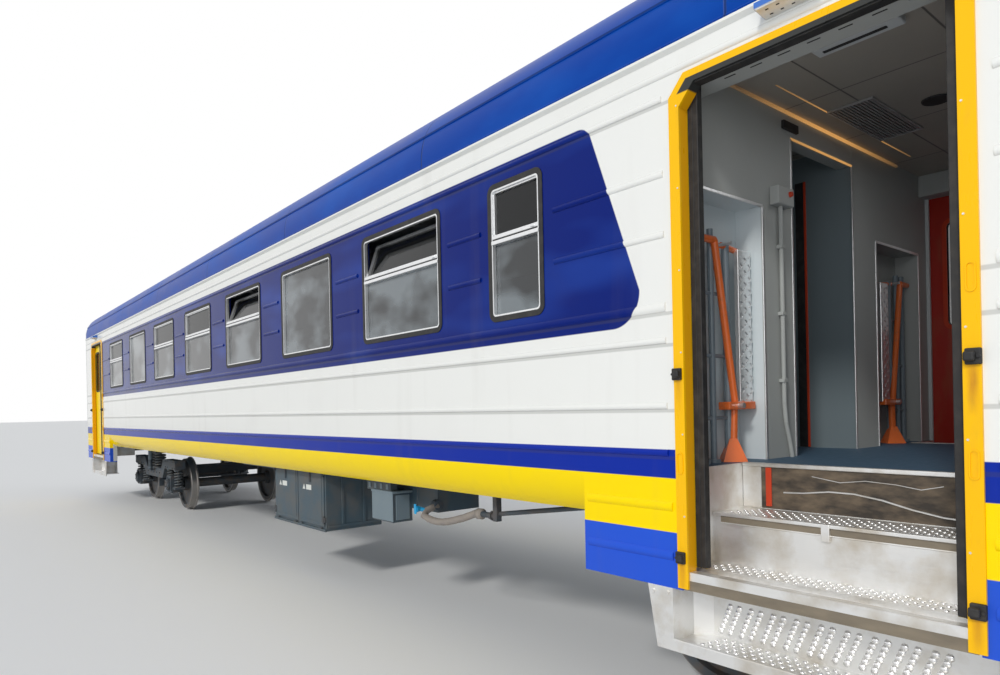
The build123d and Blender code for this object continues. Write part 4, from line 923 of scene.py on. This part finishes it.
for out, x0, x1, low, count in ((-1, 10.70 - MIDDLE, 12.04 - MIDDLE, 0.55, 2),
                                (1, 5.56 - MIDDLE, 7.26 - MIDDLE, 0.56, 3)):
    share = (x1 - x0 - 0.05) / count
    pin_y = out * 1.516
    for k in range(count):
        left_x = x0 + 0.025 + k * share
        right_x, middle_x = left_x + share, left_x + share / 2
        on_box(boxes, out, (left_x + 0.008, right_x - 0.008), (low + 0.045, DOOR_HIGH), 0.012)
        on_box(boxes, out, (left_x + 0.05, right_x - 0.05), (low + 0.09, DOOR_HIGH - 0.045), 0.017)
        on_box(latches, out, (middle_x - 0.018, middle_x + 0.018), (1.04, 1.15), 0.030)
        on_box(latches, out, (middle_x - 0.055, middle_x + 0.055), (1.145, 1.165), 0.034)
        pin_x = left_x + 0.012 if k == 0 else right_x - 0.012
        for pin_z in (low + 0.075, 1.11):
            bar(latches, (pin_x, pin_y, pin_z), (pin_x, pin_y, pin_z + 0.08), 0.011, 10)
            on_box(latches, out, (pin_x - 0.028, pin_x + 0.028), (pin_z + 0.015, pin_z + 0.065), 0.015, 0.002)
        for foot_x in (left_x + 0.08, right_x - 0.08):
            bar(latches, (foot_x - 0.03, pin_y, low + 0.028), (foot_x + 0.03, pin_y, low + 0.028), 0.009, 8)
    on_box(boxes, out, (x0 - 0.004, x1 + 0.004), (low - 0.004, low + 0.022), 0.020)
    on_box(boxes, out, (x0 - 0.004, x1 + 0.004), (1.228, 1.248), 0.016)
    for end_x in (x0, x1):
        span(boxes, end_x, 0.010, (out * 0.88, out * 1.48), (low + 0.03, low + 0.06), 0.003)
        for rib_y in (1.05, 1.30):
            span(boxes, end_x, 0.012, (out * rib_y, out * (rib_y + 0.03)), (low + 0.06, 1.22), 0.004)
for x in (10.98 - MIDDLE, 11.62 - MIDDLE):
    block(signs, (x - 0.020, -1.5205, 0.955), (x + 0.105, -1.516, 1.010), 0.002)
    bar(signs, (x - 0.075, -1.5165, 0.975), (x - 0.075, -1.5205, 0.975), 0.036, 3)
sign = Finish("blank_sign")
sign_white = sign.close((0.70, 0.72, 0.70), sign.noise(30.0) * 0.2 + 0.4)
set_down("box_doors", boxes, slate_paint)
set_down("blank_signs", signs, sign_white)
set_down("box_latches", latches, bogie_iron)


# The brake box next to it is a paler case with a lid, hung on brackets. A lagged air pipe runs to it, with a
# blue tap on a thin pull rod, a flat hanger and a tie rod to the last bearer.
def tube(bm, route, radius, sides=14):
    """A round pipe through a row of points."""
    rims = []
    for k, here in enumerate(route):
        way = Vector(route[min(k + 1, len(route) - 1)]) - Vector(route[max(k - 1, 0)])
        is_end = k in (0, len(route) - 1)
        made = bmesh.ops.create_circle(bm, cap_ends=is_end, segments=sides, radius=radius)["verts"]
        bmesh.ops.rotate(bm, cent=(0, 0, 0), matrix=way.to_track_quat("Z", "Y").to_matrix(), verts=made)
        bmesh.ops.translate(bm, vec=here, verts=made)
        rims.append(list({e for v in made for e in v.link_edges}))
    for first, second in zip(rims, rims[1:]):
        bmesh.ops.bridge_loops(bm, edges=first + second)


CASE_X0, CASE_X1, PIPE_Y, PULL_Y, TAP_X = 13.005 - MIDDLE, 13.385 - MIDDLE, -1.45, -1.472, 3.325
PIPE_ROUTE = ((3.38, -1.30, 0.965), (3.36, -1.40, 0.93), (3.39, PIPE_Y, 0.892), (3.455, PIPE_Y, 0.876),
              (3.522, PIPE_Y, 0.868), (3.59, PIPE_Y, 0.866), (3.661, PIPE_Y, 0.870), (3.74, PIPE_Y, 0.883),
              (3.816, PIPE_Y, 0.900), (3.945, PIPE_Y, 0.933), (4.03, PIPE_Y, 0.960), (4.11, PIPE_Y, 0.987),
              (4.17, PIPE_Y, 0.990))
case, pipe, rods, tap = bmesh.new(), bmesh.new(), bmesh.new(), bmesh.new()
block(case, (CASE_X0 + 0.007, -1.508, 0.800), (CASE_X1 - 0.007, -1.498, 1.050), 0.004)
block(case, (CASE_X0, -1.512, 1.045), (CASE_X1, -1.300, 1.066), 0.004)
block(case, (CASE_X1 - 0.021, -1.470, 0.81), (CASE_X1 - 0.009, -1.330, 1.03), 0.003)
for k in range(4):
    bracket_x = 12.93 - MIDDLE + k * 0.105
    block(case, (bracket_x, -1.496, 1.075), (bracket_x + 0.040, -1.488, 1.125), 0.003)
tube(pipe, PIPE_ROUTE, 0.029)
bar(pipe, (4.14, PIPE_Y, 0.988), (4.19, PIPE_Y, 0.990), 0.041, 14)
bar(rods, (4.18, PIPE_Y, 0.990), (4.37, PIPE_Y, 0.990), 0.022, 12)
bar(rods, (4.30, PIPE_Y, 0.990), (4.32, PIPE_Y, 0.990), 0.036, 6)
block(rods, (4.343, -1.475, 0.955), (4.389, -1.425, 1.335), 0.004)
block(rods, (4.335, -1.56, 1.325), (4.400, -1.42, 1.345), 0.003)
bar(rods, (4.22, PIPE_Y + 0.01, 0.985), (5.30, PIPE_Y + 0.01, 1.147), 0.017, 12)
block(rods, (5.285, -1.47, 1.13), (5.320, -1.41, 1.255), 0.004)
chain(rods, [(TAP_X - 0.003, PULL_Y, 0.975), (TAP_X + 0.015, PULL_Y, 1.185), (TAP_X + 0.015, PULL_Y, 1.40)],
      0.004, 8)
bar(rods, (TAP_X + 0.015, -1.30, 0.965), (3.40, -1.30, 0.965), 0.050, 8)
bar(tap, (TAP_X, -1.49, 0.947), (TAP_X, -1.455, 0.947), 0.030, 12, 0.024)
block(tap, (TAP_X - 0.015, -1.500, 0.905), (TAP_X + 0.017, -1.488, 0.990), 0.006)
bar(tap, (TAP_X, -1.455, 0.947), (3.36, -1.41, 0.93), 0.018, 10)
pale_case = clouded("pale_case_enamel", (6.0, 4.0), (0.13, 0.185, 0.225), (0.19, 0.24, 0.27), (0.2, 0.35))
pipe_lagging = clouded("pipe_lagging", (16.0, 4.0), (0.34, 0.30, 0.26), (0.22, 0.20, 0.19), (0.0, 0.75),
                       relief=0.003)
tap_blue = clouded("tap_blue", (30.0, 3.0), (0.01, 0.40, 0.75), (0.02, 0.30, 0.60), (0.0, 0.35))
set_down("brake_case", case, pale_case)
set_down("air_pipe", pipe, pipe_lagging, smooth=True)
set_down("air_fittings", rods, bogie_iron)
set_down("air_tap", tap, tap_blue)


# Each bogie has wound coil springs between cups, round axlebox covers with six bolts, bolted guides, and a
# damper with a pale sleeve at each end of its bolster.
def coil(bm, x, y, low, high, radius, wire, turns, sides=8, steps=12):
    """A wound spring between two cups."""
    section = bmesh.ops.create_circle(bm, cap_ends=True, segments=sides, radius=wire)["verts"]
    bmesh.ops.rotate(bm, cent=(0, 0, 0), matrix=Matrix.Rotation(radians(90), 3, "X"), verts=section)
    bmesh.ops.translate(bm, vec=(x + radius, y, low + wire), verts=section)
    round_edges = list({e for v in section for e in v.link_edges})
    rise = (high - low - 2 * wire) / (turns * steps)
    bmesh.ops.spin(bm, geom=section + round_edges + list(section[0].link_faces), cent=(x, y, 0),
                   axis=(0, 0, 1), steps=turns * steps, dvec=(0, 0, rise), angle=2 * pi * turns)
    for z in (low - 0.002, high - 0.014):
        bar(bm, (x, y, z), (x, y, z + 0.016), radius + wire + 0.006, 18)


def boss(bm, x, z, start_y, end_y, radius, sides, tip=None):
    """A round boss or bolt on the bogie's outer face, which points to the side."""
    bar(bm, (x, start_y, z), (x, end_y, z), radius, sides, tip)


SPRING_Y, SPRING_LOW, SPRING_HIGH, BOLT_RING = 1.020, 0.430, 0.760, 0.080
spring_enamel = clouded("spring_enamel", (20.0, 4.0), (0.085, 0.105, 0.12), (0.16, 0.12, 0.09), (0.3, 0.35),
                        (0.4, 1.8))
for end, pivot in (("rear", -BOGIE_X), ("front", BOGIE_X)):
    springs, covers, sleeves = bmesh.new(), bmesh.new(), bmesh.new()
    for out in (-1, 1):
        for axle_x in (pivot - AXLE_OFF, pivot + AXLE_OFF):
            for x in (axle_x - 0.24, axle_x + 0.24):
                coil(springs, x, out * SPRING_Y, SPRING_LOW, SPRING_HIGH, 0.066, 0.0135, 6)
                bar(springs, (x, out * SPRING_Y, SPRING_LOW), (x, out * SPRING_Y, SPRING_HIGH), 0.030, 12)
            boss(covers, axle_x, AXLE_Z, out * 1.160, out * 1.180, 0.104, 24, 0.098)
            boss(covers, axle_x, AXLE_Z, out * 1.178, out * 1.190, 0.050, 18, 0.040)
            for k in range(6):
                angle = radians(60 * k + 30)
                bolt_x, bolt_z = axle_x + BOLT_RING * cos(angle), AXLE_Z + BOLT_RING * sin(angle)
                boss(covers, bolt_x, bolt_z, out * 1.176, out * 1.190, 0.010, 6)
            for x in (axle_x - 0.13, axle_x + 0.13):
                block(covers, (x - 0.016, out * 1.128, 0.36), (x + 0.016, out * 1.142, 0.61), 0.004)
            for dx in (-0.305, -0.175, 0.175, 0.305):
                for z in (0.790, 0.900):
                    boss(covers, axle_x + dx, z, out * 1.108, out * 1.122, 0.012, 6)
        for x in (pivot - 0.15, pivot + 0.15):
            coil(springs, x, out * SPRING_Y, 0.740, 1.040, 0.094, 0.0175, 5)
        for k in range(5):
            boss(covers, pivot - 0.44 + k * 0.22, 0.65, out * 1.108, out * 1.120, 0.013, 6)
        for low, high, radius in ((0.90, 1.085, 0.0395), (0.745, 0.755, 0.043)):
            bar(sleeves, (pivot + 0.06, out * 1.185, low), (pivot + 0.06, out * 1.185, high), radius, 16)
    body = f"bogie_{end}"
    wound = set_down(f"coil_springs_{end}", springs, spring_enamel, body, smooth=True)
    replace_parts(wound, f"bogie_springs_{end}")
    set_down(f"axlebox_covers_{end}", covers, bogie_iron, body)
    set_down(f"damper_sleeves_{end}", sleeves, pale_case, body)

# Roof ventilators are low sheet hoods with sloped sides. Three louvre lips run along each side of them, and a
# seam along the middle of the cap.
vent_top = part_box("roof_vents")[1][2] - FLANGE
vents = bmesh.new()
for station in (2.8, 6.6, 10.4, 14.2, 18.0):
    x = station - MIDDLE
    for k in range(3):
        z = vent_top - 0.045 - k * 0.022
        y = 0.230 + (0.020 + k * 0.022) * 0.27
        bar(vents, (x - 0.36, -y, z), (x + 0.36, -y, z), 0.008, 8)
    bar(vents, (x - 0.402, 0, vent_top - 0.012), (x + 0.402, 0, vent_top - 0.012), 0.010, 8)
set_down("vent_louvres", vents, roof_paint, mirrored=True)

# The saloon doors and the gangway doors have a rubber gasket round their pane and a flat handle, on both
# faces. The gangway doors' panes are shorter.
GASKET, GASKET_DEEP, PANE_REACH = 0.016, 0.004, 0.21
SALOON_PANE_Z, END_PANE_Z = (1.91, 3.21), (2.25, 3.15)
INNER_DOORS = (("saloon_door_rear", 0.0, SALOON_PANE_Z, 0.34),
               ("saloon_door_middle", -0.11, SALOON_PANE_Z, 0.34),
               ("saloon_door_front", 0.0, SALOON_PANE_Z, 0.34),
               ("end_door_rear", 0.0, END_PANE_Z, 0.30),
               ("end_door_front", 0.0, END_PANE_Z, 0.30))
for door_x, (door, door_y, pane_z, handle_y) in zip(INNER_DOORS_X, INNER_DOORS):
    trim = bmesh.new()
    for face in (-1, 1):
        gasket = bmesh.new()
        rounded_ring(gasket, (-PANE_REACH - GASKET, PANE_REACH + GASKET),
                     (pane_z[0] - GASKET, pane_z[1] + GASKET), 0.075, 0.024, 0.0, GASKET_DEEP)
        gasket_x = door_x + face * 0.018 - (GASKET_DEEP if face < 0 else 0.0)
        put(trim, gasket, Matrix.Translation((gasket_x, door_y, 0)) @ Matrix.Rotation(radians(-90), 4, "Z"))
        grip_x, grip_y = door_x + face * 0.0195, door_y + handle_y
        block(trim, (grip_x - 0.0025, grip_y - 0.014, 2.42), (grip_x + 0.0025, grip_y + 0.014, 2.66), 0.002)
    set_down(f"{door}_trim", trim, rubber_seal, door)

# The ends carry long grab bars on stand-offs beside the gangway, and on each side a socket box whose three
# round sockets take the cables from coach to coach.
STAND_OFF, SOCKET_DEEP = 0.055, 0.09
end_rails, end_sockets = bmesh.new(), bmesh.new()
for face in (-1, 1):
    wall_x = face * MIDDLE
    back_x, grab_x = wall_x - face * 0.002, wall_x + face * STAND_OFF
    for y in (-0.74, -1.50):
        bar(end_rails, (grab_x, y, 1.65), (grab_x, y, 2.75), 0.013, 10)
        for z in (1.65, 2.20, 2.75):
            bar(end_rails, (back_x, y, z), (grab_x, y, z), 0.010, 8)
    block(end_sockets, (back_x, -1.30, 1.52), (wall_x + face * SOCKET_DEEP, -0.95, 1.74), 0.015, 3)
    for y in (-1.03, -1.125, -1.22):
        mouth_x, tip_x = wall_x + face * 0.088, wall_x + face * 0.118
        bar(end_sockets, (mouth_x, y, 1.60), (tip_x, y, 1.585), 0.030, 14, 0.026)
set_down("end_grab_rails", end_rails, rack_metal, smooth=True, mirrored=True)
set_down("cable_sockets", end_sockets, slate_paint, mirrored=True)
